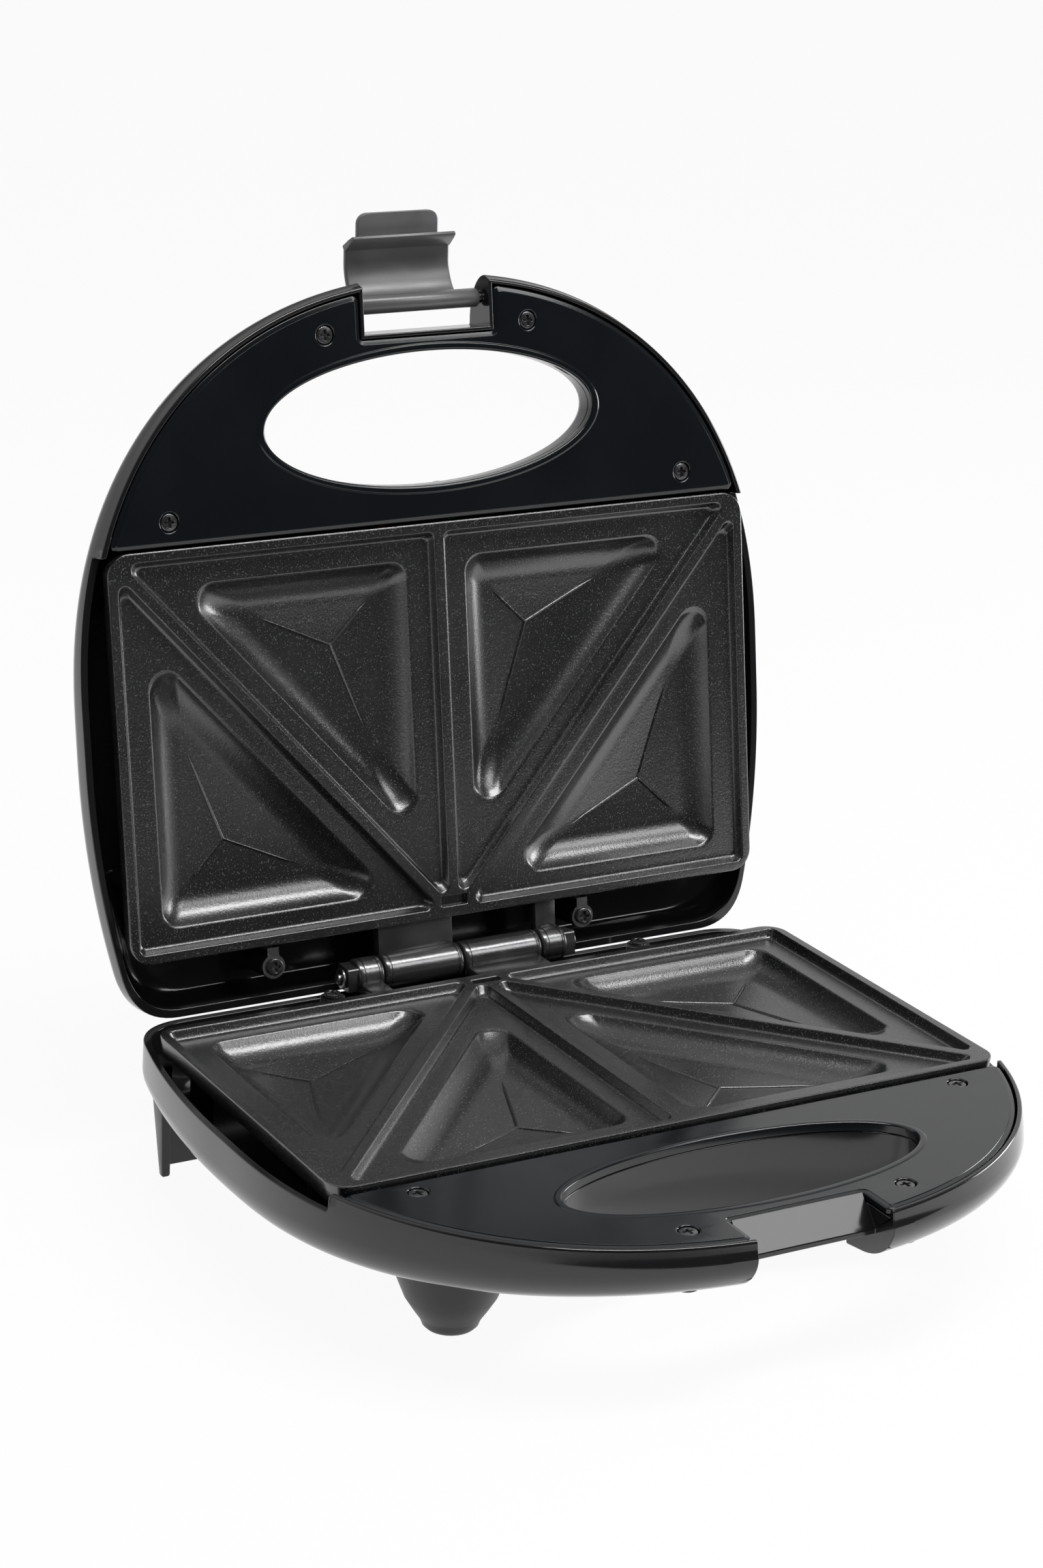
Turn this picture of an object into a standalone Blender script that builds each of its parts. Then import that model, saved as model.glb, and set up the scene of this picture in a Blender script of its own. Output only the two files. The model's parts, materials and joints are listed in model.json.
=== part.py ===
"""A two-slice sandwich maker that stands open, as its pieces would lie on a bench.

The two halves are near twins. Each is drawn in its own half frame: the origin is on
the hinge axis, X runs along the axis, Y is negative towards the handle, and Z is the
depth away from the plane where the halves meet. The base frame turns that drawing
half a turn about Y, and the lid frame swings it open about X.
"""

import math

import bmesh
import bpy

# The pose at rest: the lid stands open on its stop and the latch is thrown back
OPEN_ANGLE = math.radians(97.9)
LATCH_SWING = math.radians(122.0)

# Gaps that the whole object shares, and how far cutters run past what they cut
GAP = 0.0003
OVERRUN = 0.0040

# Cast grill plates
PLATE_WIDTH = 0.2180
PLATE_DEPTH = 0.1240
PLATE_CORNER = 0.0070
PLATE_DRAFT = 0.0006
AXIS_BEHIND_PLATE = 0.0137
LAND_DROP = 0.0030
LAND_THICKNESS = 0.0030
RIM_WIDTH = 0.0032
RIDGE_WIDTH = 0.0036
RIDGE_DRAFT = 0.0009
CELL_CORNER = 0.0022
POCKET_DEPTH = 0.0062
POCKET_FALL = 0.0008
POCKET_WALL = 0.0015
POCKET_COVE = 0.0085
POCKET_CORNER = 0.0055
POCKET_FROM_FRONT = 0.0120
POCKET_FROM_CENTRE = 0.0105
POCKET_FROM_SIDE = 0.0125
POCKET_FROM_REAR = 0.0098
POCKET_FROM_RIDGE = 0.0095
CHANNEL_WIDTH = 0.0100
CHANNEL_LENGTH = 0.0038
CHANNEL_DEPTH = 0.0022

# Hinge knuckles cast with the plates, and their pin
KNUCKLE_RADIUS = 0.0054
KNUCKLE_LENGTH = 0.0270
END_KNUCKLE_LENGTH = 0.0085
KNUCKLE_GAP = 0.0007
KNUCKLE_WEB = 0.0040
STOP_LUG_LENGTH = 0.0034
STOP_LUG_HEIGHT = 0.0076
PIN_RADIUS = 0.0016
PIN_PLAY = 0.0003
PIN_HEAD_RADIUS = 0.0028
PIN_HEAD_LENGTH = 0.0012
CLIP_RADIUS = 0.0032
CLIP_THICKNESS = 0.0008

# Housings: the outline seen from above
SIDE_MARGIN = 0.0085
HANDLE_ARC_BEHIND_PLATE_FRONT = 0.0490
HANDLE_LENGTH = 0.1240
TAIL_ARC_BEHIND_HANDLE_ARC = 0.0150
TAIL_ARC_LENGTH = 0.1860
REAR_REACH = 0.0055
REAR_CORNER = 0.0140
WALL = 0.0026
HOUSING_GAP = 0.0015
RIM_ROUND = 0.0008
RIM_DRAFT = 0.0004
EDGE_SWEEP = 0.0145
REAR_SWEEP = 0.0056
TUBE_WALL = 0.0022
PLATE_RELIEF = 0.0005
SLOT_FROM_PLATE = 0.0010
FALL_POWER = 1.6
HANDLE_WIDTH_POWER = 2.2
HANDLE_LENGTH_POWER = 2.3
UPRIGHT_POWER = 2.0

# Housings: their depth at the side, at the handle and in the middle
BASE_SIDE_DEPTH = 0.0275
BASE_HANDLE_DEPTH = 0.0174
BASE_CROWN = 0.0015
BASE_UPRIGHT_SHARE = 0.56
LID_SIDE_DEPTH = 0.0220
LID_HANDLE_DEPTH = 0.0140
LID_CROWN = 0.0070
LID_UPRIGHT_SHARE = 0.50

# Hand hole in each handle, as shares of the handle's reach before the plate and of the half width
HOLE_PLACE_SHARE = 0.424
HOLE_WIDTH_SHARE = 0.272
HOLE_LENGTH_SHARE = 0.4766
HOLE_FLARE_SHARE = 0.0467

# Handle covers
COVER_THICKNESS = 0.0024
COVER_SKIRT = 0.0085
COVER_SKIRT_WALL = 0.0020
COVER_EDGE = 0.0006
COVER_BOSS_RADIUS = 0.0038
COVER_SCREW_SIDE_SHARE = 0.749
COVER_SCREW_SIDE_FROM_PLATE = 0.0078
COVER_SCREW_FRONT_SHARE = 0.2936
COVER_SCREW_FRONT_PLACE_SHARE = 0.789

# Screws: pan head and shank
SCREW_HEAD_RADIUS = 0.0026
SCREW_HEAD_HEIGHT = 0.0012
SCREW_SHANK_RADIUS = 0.0013
SCREW_LENGTH = 0.0085
SCREW_PLAY = 0.0003
HEAD_SINK = 0.0002
PILOT_DEPTH = 0.0100

# Latch notch in each handle, and the bar that the latch holds under
NOTCH_HALF_WIDTH = 0.0213
NOTCH_PLACE_SHARE = 0.777
BAR_SLOPE = 0.0068
BAR_DEPTH = 0.0115

# Latch, drawn hooked: its pivot is the origin, and it hangs from there
PIVOT_PLACE_SHARE = 0.891
PIVOT_DEPTH = 0.0078
BARREL_RADIUS = 0.0029
BARREL_HALF_LENGTH = 0.0155
LATCH_HALF_WIDTH = 0.0178
LATCH_TAB_HALF_WIDTH = 0.0139
LATCH_TAB_CORNER = 0.0032
LATCH_THICKNESS = 0.0020
LATCH_NECK_RADIUS = 0.0092
LATCH_BELLY_RADIUS = 0.0140
LATCH_FORWARD = 0.0080
LATCH_NECK_TURN = math.radians(75.0)
LATCH_BELLY_TURN = math.radians(40.0)
LATCH_TAIL = 0.0145
LATCH_HOOK_GAP = 0.0005
LATCH_HOOK_THICKNESS = 0.0022
LATCH_HOOK_REACH = 0.0030
LATCH_PIN_RADIUS = 0.0014
LATCH_PIN_SEAT = 0.0030

# Posts that carry the plates, and the bosses behind the plates
POST_RADIUS = 0.0034
POST_FROM_SIDE = 0.0052
POST_FROM_REAR = 0.0240
POST_FROM_FRONT = 0.0200
REAR_BOSS_RADIUS = 0.0038
REAR_BOSS_LONG_SHARE = 0.567
REAR_BOSS_SHORT_SHARE = 0.428
REAR_BOSS_FROM_AXIS = 0.0065
REAR_BOSS_DEPTH = 0.0037

# Rear legs, moulded on the base: an upright flange that narrows from behind, and a web behind it
LEG_FROM_SIDE = 0.0122
LEG_FRONT = 0.0113
LEG_TOP_DEPTH = 0.0140
LEG_TOP_REAR = 0.0016
LEG_FOOT_REAR = 0.0090
LEG_TOP_WALL = 0.0036
LEG_FOOT_WALL = 0.0026
LEG_ROUND = 0.0010
LEG_WEB_WALL = 0.0016
LEG_WEB_TOP = 0.0220
LEG_WEB_FOOT = 0.0200
LEG_WEB_CLEAR = 0.0035

# Front feet
FOOT_SIDE_SHARE = 0.6128
FOOT_FROM_PLATE_FRONT = 0.0022
FOOT_TOP_RADIUS = 0.0172
FOOT_MIDDLE_RADIUS = 0.0132
FOOT_LOW_RADIUS = 0.0086
FOOT_BOTTOM_RADIUS = 0.0042
FOOT_MIDDLE_HEIGHT = 0.0108
FOOT_LOW_HEIGHT = 0.0036
FOOT_ROUND = 0.0010
FOOT_PAD_RADIUS = 0.0178
FOOT_SEAT_DEPTH = 0.0275
FOOT_HEIGHT = 0.0222
FOOT_SPIGOT_RADIUS = 0.0040
FOOT_SPIGOT_LENGTH = 0.0018

# Tubular heating elements and what holds them
ELEMENT_RADIUS = 0.00275
ELEMENT_REAR_SHARE = 0.258
ELEMENT_FRONT_SHARE = 0.710
ELEMENT_END_SHARE = 0.642
ELEMENT_BEND_SHARE = 0.404
CLAMP_WIDTH = 0.0080
CLAMP_SHEET = 0.0007
CLAMP_FOOT = 0.0060
CLAMP_REAR_SHARE = 0.550
CLAMP_FRONT_SHARE = 0.275

# Reflector pans under the plates
SHEET = 0.0006
PAN_TOP_FROM_SIDE = 0.0094
PAN_FLOOR_FROM_SIDE = 0.0230
PAN_TOP_REAR = 0.0043
PAN_TOP_FRONT = 0.0050
PAN_FLOOR_REAR = 0.0163
PAN_FLOOR_FRONT = 0.0227
PAN_CORNER = 0.0120
PAN_UNDER_PLATE = 0.0009
PAN_UNDER_CLAMP = 0.0003
EAR_SHEET = 0.0008
EAR_STEP_FROM_PLATE = 0.0012

# Thermostat, fuse, terminals and the bush for the lead
THERMOSTAT_RADIUS = 0.0080
THERMOSTAT_HEIGHT = 0.0050
THERMOSTAT_SIDE_SHARE = 0.303
THERMOSTAT_PLACE_SHARE = 0.484
TAB_WIDTH = 0.0040
TAB_LENGTH = 0.0070
TAB_SHEET = 0.0008
FUSE_RADIUS = 0.0020
FUSE_LENGTH = 0.0220
FUSE_FROM_PLATE = 0.0160
FUSE_FROM_PAN_SIDE = 0.0160
BLOCK_LENGTH = 0.0240
BLOCK_WIDTH = 0.0100
BLOCK_HEIGHT = 0.0085
BLOCK_FROM_AXIS = 0.0145
BLOCK_WELL_RADIUS = 0.0018
BLOCK_WELL_DEPTH = 0.0040
BUSH_SIDE_SHARE = 0.511
BUSH_DEPTH = 0.0122
BUSH_FLANGE_RADIUS = 0.0048
BUSH_NECK_RADIUS = 0.0039
BUSH_BORE_RADIUS = 0.0030
BUSH_FLANGE = 0.0014

# Signal lamps in the lid
LENS_X = 0.0120
LENS_BEHIND_COVER = 0.0012
LENS_RECESS_RADIUS = 0.0060
LENS_SEAT_DEPTH = 0.0225
LENS_PAD = 0.0025
LENS_PAD_RADIUS = 0.0080
LENS_FLANGE_RADIUS = 0.0050
LENS_FLANGE = 0.0010
LENS_CROWN = 0.0014
LENS_STEM_RADIUS = 0.0034
LENS_STEM_LENGTH = 0.0080
LAMP_RADIUS = 0.0022
LAMP_LENGTH = 0.0090
LENS_ROOF = 0.0012

# Where things come out from the sizes above
AXIS_HEIGHT = FOOT_SEAT_DEPTH + GAP + FOOT_HEIGHT
PLATE_HALF_WIDTH = PLATE_WIDTH / 2
PLATE_REAR = -AXIS_BEHIND_PLATE
PLATE_FRONT = PLATE_REAR - PLATE_DEPTH
SHELL_HALF_WIDTH = PLATE_HALF_WIDTH + SIDE_MARGIN
HANDLE_ARC_Y = PLATE_FRONT + HANDLE_ARC_BEHIND_PLATE_FRONT
TAIL_ARC_Y = HANDLE_ARC_Y + TAIL_ARC_BEHIND_HANDLE_ARC
HANDLE_TIP = HANDLE_ARC_Y - HANDLE_LENGTH
HANDLE_REACH = PLATE_FRONT - HANDLE_TIP
CROWN_Y = (HANDLE_TIP + REAR_REACH) / 2
SLOT_END = PLATE_FRONT + SLOT_FROM_PLATE
LAND_DEPTH = GAP + LAND_DROP
PLATE_UNDERSIDE = LAND_DEPTH + LAND_THICKNESS
POCKET_FLOOR = LAND_DEPTH + POCKET_DEPTH
PLATE_BOTTOM = POCKET_FLOOR + POCKET_FALL + POCKET_WALL
SLOT_DEPTH = PLATE_UNDERSIDE + GAP
HOLE_Y = PLATE_FRONT - HANDLE_REACH * HOLE_PLACE_SHARE
HOLE_HALF_WIDTH = HANDLE_REACH * HOLE_WIDTH_SHARE
HOLE_HALF_LENGTH = SHELL_HALF_WIDTH * HOLE_LENGTH_SHARE
HOLE_FLARE = HANDLE_REACH * HOLE_FLARE_SHARE
NOTCH_Y = PLATE_FRONT - HANDLE_REACH * NOTCH_PLACE_SHARE
COVER_BACK = PLATE_FRONT - 2 * GAP
COVER_UNDER = HOUSING_GAP + COVER_THICKNESS
COVER_SEAT = COVER_UNDER + GAP
COVER_SCREW_SIDE_X = SHELL_HALF_WIDTH * COVER_SCREW_SIDE_SHARE
COVER_SCREW_FRONT_X = SHELL_HALF_WIDTH * COVER_SCREW_FRONT_SHARE
PIVOT_Y = PLATE_FRONT - HANDLE_REACH * PIVOT_PLACE_SHARE
HINGE_HALF_LENGTH = KNUCKLE_GAP / 2 + KNUCKLE_LENGTH + KNUCKLE_GAP + END_KNUCKLE_LENGTH
PIN_HEAD_SEAT = HINGE_HALF_LENGTH + STOP_LUG_LENGTH + GAP
PIN_END = PIN_HEAD_SEAT + CLIP_THICKNESS + PIN_HEAD_LENGTH
ELEMENT_DEPTH = PLATE_BOTTOM + GAP + ELEMENT_RADIUS
ELEMENT_REAR = PLATE_REAR - PLATE_DEPTH * ELEMENT_REAR_SHARE
ELEMENT_FRONT = PLATE_REAR - PLATE_DEPTH * ELEMENT_FRONT_SHARE
ELEMENT_END_X = PLATE_HALF_WIDTH * ELEMENT_END_SHARE
ELEMENT_BEND_X = PLATE_HALF_WIDTH * ELEMENT_BEND_SHARE
CLAMP_INNER = ELEMENT_RADIUS + GAP
PAN_FLOOR = ELEMENT_DEPTH + CLAMP_INNER + CLAMP_SHEET + PAN_UNDER_CLAMP
PAN_TOP = PLATE_UNDERSIDE + PAN_UNDER_PLATE
EAR_TOP = REAR_BOSS_DEPTH - GAP - EAR_SHEET
LATCH_HOOK_DEPTH = BAR_DEPTH + PIVOT_DEPTH + LATCH_HOOK_GAP
LEG_X = SHELL_HALF_WIDTH - LEG_FROM_SIDE
FOOT_X = SHELL_HALF_WIDTH * FOOT_SIDE_SHARE
FOOT_Y = PLATE_FRONT + FOOT_FROM_PLATE_FRONT
BUSH_X = SHELL_HALF_WIDTH * BUSH_SIDE_SHARE

FORMS = {
    "base": (BASE_SIDE_DEPTH, BASE_HANDLE_DEPTH, BASE_CROWN, BASE_UPRIGHT_SHARE),
    "lid": (LID_SIDE_DEPTH, LID_HANDLE_DEPTH, LID_CROWN, LID_UPRIGHT_SHARE),
}

# Finishes: colour, roughness, metallic
FINISHES = {
    "gloss_black": ((0.012, 0.012, 0.014, 1.0), 0.16, 0.0),
    "satin_black": ((0.014, 0.015, 0.018, 1.0), 0.30, 0.0),
    "matte_black": ((0.020, 0.020, 0.021, 1.0), 0.65, 0.0),
    "nonstick_grey": ((0.050, 0.052, 0.054, 1.0), 0.42, 0.55),
    "latch_grey": ((0.045, 0.046, 0.048, 1.0), 0.38, 0.0),
    "zinc": ((0.42, 0.42, 0.42, 1.0), 0.35, 1.0),
    "black_screw": ((0.050, 0.050, 0.052, 1.0), 0.40, 0.8),
    "steel_sheet": ((0.50, 0.50, 0.50, 1.0), 0.30, 1.0),
    "element_steel": ((0.22, 0.22, 0.21, 1.0), 0.45, 0.9),
    "ceramic": ((0.75, 0.73, 0.68, 1.0), 0.55, 0.0),
    "red_lens": ((0.45, 0.02, 0.015, 1.0), 0.20, 0.0),
    "green_lens": ((0.03, 0.30, 0.06, 1.0), 0.20, 0.0),
    "lamp_glass": ((0.70, 0.66, 0.60, 1.0), 0.10, 0.0),
}

# How finely round forms are cut
ARC_STEPS = 11
TAIL_STEPS = 4
CORNER_STEPS = 3
REAR_STEPS = 2
HOLE_STEPS = 24
ROUND_STEPS = 16
SMALL_STEPS = 8
PILOT_STEPS = 8
SWEEP_SHARES = (0.32, 0.60, 0.82, 1.0)
CROWN_SHARES = (0.76, 0.46, 0.20)
COVE_SHARES = (0.12, 0.40, 0.68, 0.94)
FLARE_SHARES = ((0.50, 0.0), (0.78, 0.55), (1.0, 1.5), (1.35, 3.2))
SMOOTH_ANGLE = math.radians(35.0)


def clear_scene():
    """Remove whatever the file holds."""
    for item in list(bpy.data.objects):
        bpy.data.objects.remove(item, do_unlink=True)


def finish(name):
    """Return the named finish as a Principled material, made on first use."""
    made = bpy.data.materials.get(name)
    if made:
        return made
    colour, roughness, metallic = FINISHES[name]
    made = bpy.data.materials.new(name)
    made.use_nodes = True
    made.diffuse_color = colour
    shader = made.node_tree.nodes["Principled BSDF"]
    shader.inputs["Base Color"].default_value = colour
    shader.inputs["Roughness"].default_value = roughness
    shader.inputs["Metallic"].default_value = metallic
    return made


def add_frame(name, parent=None, location=(0, 0, 0), rotation=(0, 0, 0)):
    """An empty that carries pieces: its origin is where they turn."""
    frame = bpy.data.objects.new(name, None)
    frame.parent = parent
    frame.location = location
    frame.rotation_euler = rotation
    bpy.context.scene.collection.objects.link(frame)
    return frame


def add_piece(name, shape, parent, material, location=(0, 0, 0)):
    """Turn a bmesh into a named object with outward faces and smooth round sides."""
    bmesh.ops.recalc_face_normals(shape, faces=shape.faces)
    mesh = bpy.data.meshes.new(name)
    shape.to_mesh(mesh)
    shape.free()
    mesh.shade_smooth()
    mesh.set_sharp_from_angle(angle=SMOOTH_ANGLE)
    if material:
        mesh.materials.append(finish(material))
    piece = bpy.data.objects.new(name, mesh)
    piece.parent = parent
    piece.location = location
    bpy.context.scene.collection.objects.link(piece)
    return piece


def add_tool(name, shape, parent):
    """A cutter or a filler for a Boolean, which is no piece itself."""
    tool = add_piece(name, shape, parent, None)
    tool.hide_render = True
    tool.display_type = "WIRE"
    return tool


def combine(piece, tool, operation):
    """Join, cut or keep the overlap of a piece and a tool."""
    step = piece.modifiers.new(tool.name, "BOOLEAN")
    step.operation = operation
    step.object = tool
    step.solver = "EXACT"


def loft(rings, tip=None):
    """Skin closed rings of equal count. The first and last are capped, the last by a tip point if given."""
    shape = bmesh.new()
    rows = [[shape.verts.new(point) for point in ring] for ring in rings]
    for lower, upper in zip(rows, rows[1:]):
        count = len(lower)
        for index in range(count):
            after = (index + 1) % count
            shape.faces.new((lower[index], lower[after], upper[after], upper[index]))
    shape.faces.new(rows[0])
    if tip is None:
        shape.faces.new(rows[-1])
    else:
        apex = shape.verts.new(tip)
        last = rows[-1]
        for index, vertex in enumerate(last):
            shape.faces.new((vertex, last[(index + 1) % len(last)], apex))
    return shape


def ellipse(half_x, half_y, centre, depth, steps):
    """Points of an ellipse at one depth."""
    turns = [2 * math.pi * index / steps for index in range(steps)]
    return [(centre[0] + half_x * math.cos(turn), centre[1] + half_y * math.sin(turn), depth) for turn in turns]


def turned(centre, profile, steps=ROUND_STEPS):
    """A turned form about the depth axis from (radius, depth) pairs."""
    return loft([ellipse(radius, radius, centre, depth, steps) for radius, depth in profile])


def turned_along_x(centre, profile, steps=ROUND_STEPS):
    """A turned form about an X axis through centre (y, z), from (radius, x) pairs."""
    rings = []
    for radius, along in profile:
        ring = ellipse(radius, radius, centre, along, steps)
        rings.append([(depth, across, up) for across, up, depth in ring])
    return loft(rings)


def turned_along_y(centre, profile, steps=ROUND_STEPS):
    """A turned form about a Y axis through centre (x, z), from (radius, y) pairs."""
    rings = []
    for radius, along in profile:
        ring = ellipse(radius, radius, centre, along, steps)
        rings.append([(across, depth, up) for across, up, depth in ring])
    return loft(rings)


def block(low, high):
    """A box between two corners."""
    bottom = [(low[0], low[1]), (high[0], low[1]), (high[0], high[1]), (low[0], high[1])]
    return loft([[(x, y, depth) for x, y in bottom] for depth in (low[2], high[2])])


def side_prism(outline, half_width, centre_x=0.0):
    """An outline of (y, z) points carried along X."""
    ends = (centre_x - half_width, centre_x + half_width)
    return loft([[(x, y, z) for y, z in outline] for x in ends])


def round_corners(corners, radii, steps):
    """Replace each corner of a convex polygon by an arc of its radius."""
    points = []
    count = len(corners)
    for index, (corner, radius) in enumerate(zip(corners, radii)):
        before = corners[index - 1]
        after = corners[(index + 1) % count]
        to_before = unit(corner, before)
        to_after = unit(corner, after)
        half = math.acos(to_before[0] * to_after[0] + to_before[1] * to_after[1]) / 2
        away = radius / math.sin(half)
        middle = unit((0, 0), (to_before[0] + to_after[0], to_before[1] + to_after[1]))
        centre = (corner[0] + middle[0] * away, corner[1] + middle[1] * away)
        reach = radius / math.tan(half)
        start = (corner[0] + to_before[0] * reach - centre[0], corner[1] + to_before[1] * reach - centre[1])
        end = (corner[0] + to_after[0] * reach - centre[0], corner[1] + to_after[1] * reach - centre[1])
        first = math.atan2(start[1], start[0])
        sweep = math.atan2(end[1], end[0]) - first
        sweep = (sweep + math.pi) % (2 * math.pi) - math.pi
        for step in range(steps + 1):
            turn = first + sweep * step / steps
            points.append((centre[0] + radius * math.cos(turn), centre[1] + radius * math.sin(turn)))
    return points


def unit(start, end):
    """The unit direction from one point to another."""
    across, along = end[0] - start[0], end[1] - start[1]
    length = math.hypot(across, along)
    return across / length, along / length


def inset_triangle(corners, insets):
    """Move each side of a triangle inwards: insets[i] belongs to the side from corner i to the next."""
    middle = (sum(x for x, y in corners) / 3, sum(y for x, y in corners) / 3)
    lines = []
    for index in range(3):
        start, end = corners[index], corners[(index + 1) % 3]
        direction = unit(start, end)
        normal = (-direction[1], direction[0])
        if (middle[0] - start[0]) * normal[0] + (middle[1] - start[1]) * normal[1] < 0:
            normal = (-normal[0], -normal[1])
        base = (start[0] + normal[0] * insets[index], start[1] + normal[1] * insets[index])
        lines.append((base, direction))
    return [crossing(lines[index - 1], lines[index]) for index in range(3)]


def crossing(first, second):
    """Where two lines, each a point and a direction, cross."""
    (ax, ay), (ux, uy) = first
    (bx, by), (vx, vy) = second
    along = ((bx - ax) * vy - (by - ay) * vx) / (ux * vy - uy * vx)
    return ax + ux * along, ay + uy * along


def incentre(corners):
    """The point of a triangle that is as far from each side."""
    sides = [math.dist(corners[(index + 1) % 3], corners[(index + 2) % 3]) for index in range(3)]
    total = sum(sides)
    x = sum(side * corner[0] for side, corner in zip(sides, corners)) / total
    y = sum(side * corner[1] for side, corner in zip(sides, corners)) / total
    return x, y


def handle_arc(inset, first, last, steps):
    """Points of the handle's full-shouldered arc, for turns counted from its tip."""
    width, length = SHELL_HALF_WIDTH - inset, HANDLE_LENGTH - inset
    points = []
    for step in range(steps + 1):
        turn = first + (last - first) * step / steps
        across = math.copysign(abs(math.sin(turn)) ** (2 / HANDLE_WIDTH_POWER), turn)
        along = abs(math.cos(turn)) ** (2 / HANDLE_LENGTH_POWER)
        points.append((width * across, HANDLE_ARC_Y - length * along))
    return points


def turn_at_width(inset, x):
    """The arc's turn where it is as wide as x."""
    return math.asin((x / (SHELL_HALF_WIDTH - inset)) ** (HANDLE_WIDTH_POWER / 2))


def turn_at_place(inset, y):
    """The arc's turn where it reaches y."""
    return math.acos(((HANDLE_ARC_Y - y) / (HANDLE_LENGTH - inset)) ** (HANDLE_LENGTH_POWER / 2))


def outline(inset, rear):
    """The housing seen from above: a round handle, slowly narrowing sides, round rear corners."""
    def side(y):
        return (SHELL_HALF_WIDTH - inset) * math.sqrt(1 - ((y - TAIL_ARC_Y) / TAIL_ARC_LENGTH) ** 2)

    half = handle_arc(inset, 0.0, math.pi / 2, ARC_STEPS)
    corner_start = rear - REAR_CORNER
    for step in range(TAIL_STEPS + 1):
        y = TAIL_ARC_Y + (corner_start - TAIL_ARC_Y) * step / TAIL_STEPS
        half.append((side(y), y))
    start, bend = (side(corner_start), corner_start), (side(rear), rear)
    end = (side(rear) - REAR_CORNER, rear)
    for step in range(1, CORNER_STEPS + 1):
        share = step / CORNER_STEPS
        weights = ((1 - share) ** 2, 2 * share * (1 - share), share**2)
        x = sum(weight * point[0] for weight, point in zip(weights, (start, bend, end)))
        y = sum(weight * point[1] for weight, point in zip(weights, (start, bend, end)))
        half.append((x, y))
    for step in range(1, REAR_STEPS + 1):
        half.append((end[0] * (1 - step / REAR_STEPS), rear))
    mirrored = [(-x, y) for x, y in half[-2:0:-1]]
    return half + mirrored


def edge_depth(form, y):
    """How deep the housing is where its side sweep ends: less towards the handle's tip."""
    side_depth, handle_depth = FORMS[form][:2]
    share = (TAIL_ARC_Y - y) / (TAIL_ARC_Y - HANDLE_TIP)
    share = min(max(share, 0.0), 1.0)
    return side_depth - (side_depth - handle_depth) * share**FALL_POWER


def housing_rings(form, wall):
    """Rings of a housing from the rim to the crown, for the outside or, with a wall, for the hollow."""
    crown, upright_share = FORMS[form][2:]

    def ring(inset, depth_at, rear_inset=0.0):
        return [(x, y, depth_at(y)) for x, y in outline(inset + wall, REAR_REACH - wall - rear_inset)]

    def upright(y):
        fall = (edge_depth(form, y) / FORMS[form][0]) ** UPRIGHT_POWER
        return upright_share * FORMS[form][0] * fall

    rings = []
    if wall:
        rings.append(ring(0.0, lambda y: -OVERRUN))
    else:
        narrow = RIM_DRAFT + RIM_ROUND
        rings.append(ring(narrow + RIM_DRAFT, lambda y: HOUSING_GAP, RIM_ROUND))
        rings.append(ring(narrow - RIM_DRAFT / 2, lambda y: HOUSING_GAP + RIM_ROUND))
        rings.append(ring(RIM_DRAFT, lambda y: min(SLOT_DEPTH, upright(y) - RIM_ROUND)))
    rings.append(ring(0.0, upright))
    sweep_shares = SWEEP_SHARES[1::2] if wall else SWEEP_SHARES
    for share in sweep_shares:
        turn = math.pi / 2 * share
        drawn = 1 - math.cos(turn)
        rise = math.sin(turn)
        sweep = lambda y: upright(y) + (edge_depth(form, y) - upright(y) - wall) * rise
        rings.append(ring((EDGE_SWEEP - wall) * drawn, sweep, (REAR_SWEEP - wall) * drawn))
    last = rings[-1]
    crown_shares = CROWN_SHARES[1:] if wall else CROWN_SHARES
    for share in crown_shares:
        scaled = []
        for x, y, depth in last:
            new_y = CROWN_Y + (y - CROWN_Y) * share
            new_depth = edge_depth(form, new_y) + crown * (1 - share**2) - wall
            scaled.append((x * share, new_y, new_depth))
        rings.append(scaled)
    tip = (0.0, CROWN_Y, edge_depth(form, CROWN_Y) + crown - wall)
    return rings, tip


def hole_rings(margin, form):
    """The hand hole's wall: straight at the cover, flaring towards the outside."""
    depth = edge_depth(form, HOLE_Y)
    rings = [ellipse(HOLE_HALF_LENGTH + margin, HOLE_HALF_WIDTH + margin, (0.0, HOLE_Y), -OVERRUN, HOLE_STEPS)]
    for along_share, flare_share in FLARE_SHARES:
        wide = margin + HOLE_FLARE * flare_share
        centre = (0.0, HOLE_Y)
        at = depth * along_share
        rings.append(ellipse(HOLE_HALF_LENGTH + wide, HOLE_HALF_WIDTH + wide, centre, at, HOLE_STEPS))
    return rings


def notch_outline(form):
    """The notch from the side: a plain slot in the lid, a sloped bar across the slot in the base."""
    far = HANDLE_TIP - OVERRUN
    deep = edge_depth(form, NOTCH_Y) + OVERRUN * 2
    if form == "lid":
        return [(NOTCH_Y, -OVERRUN), (NOTCH_Y, deep), (far, deep), (far, -OVERRUN)]
    return [
        (NOTCH_Y, -OVERRUN),
        (NOTCH_Y, HOUSING_GAP),
        (NOTCH_Y - BAR_SLOPE, BAR_DEPTH - HOUSING_GAP),
        (NOTCH_Y - BAR_SLOPE, BAR_DEPTH),
        (HOLE_Y, BAR_DEPTH),
        (HOLE_Y, deep),
        (far, deep),
        (far, -OVERRUN),
    ]


def cover_outline(clearance):
    """The handle cover seen from above: a D with a straight back edge and the latch notch in its nose."""
    inset = WALL + clearance
    first, last = turn_at_place(inset, COVER_BACK), turn_at_width(inset, NOTCH_HALF_WIDTH)
    right = handle_arc(inset, first, last, ARC_STEPS - 2)
    right.append((NOTCH_HALF_WIDTH, NOTCH_Y))
    return right + mirror_x(reversed(right))


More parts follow.
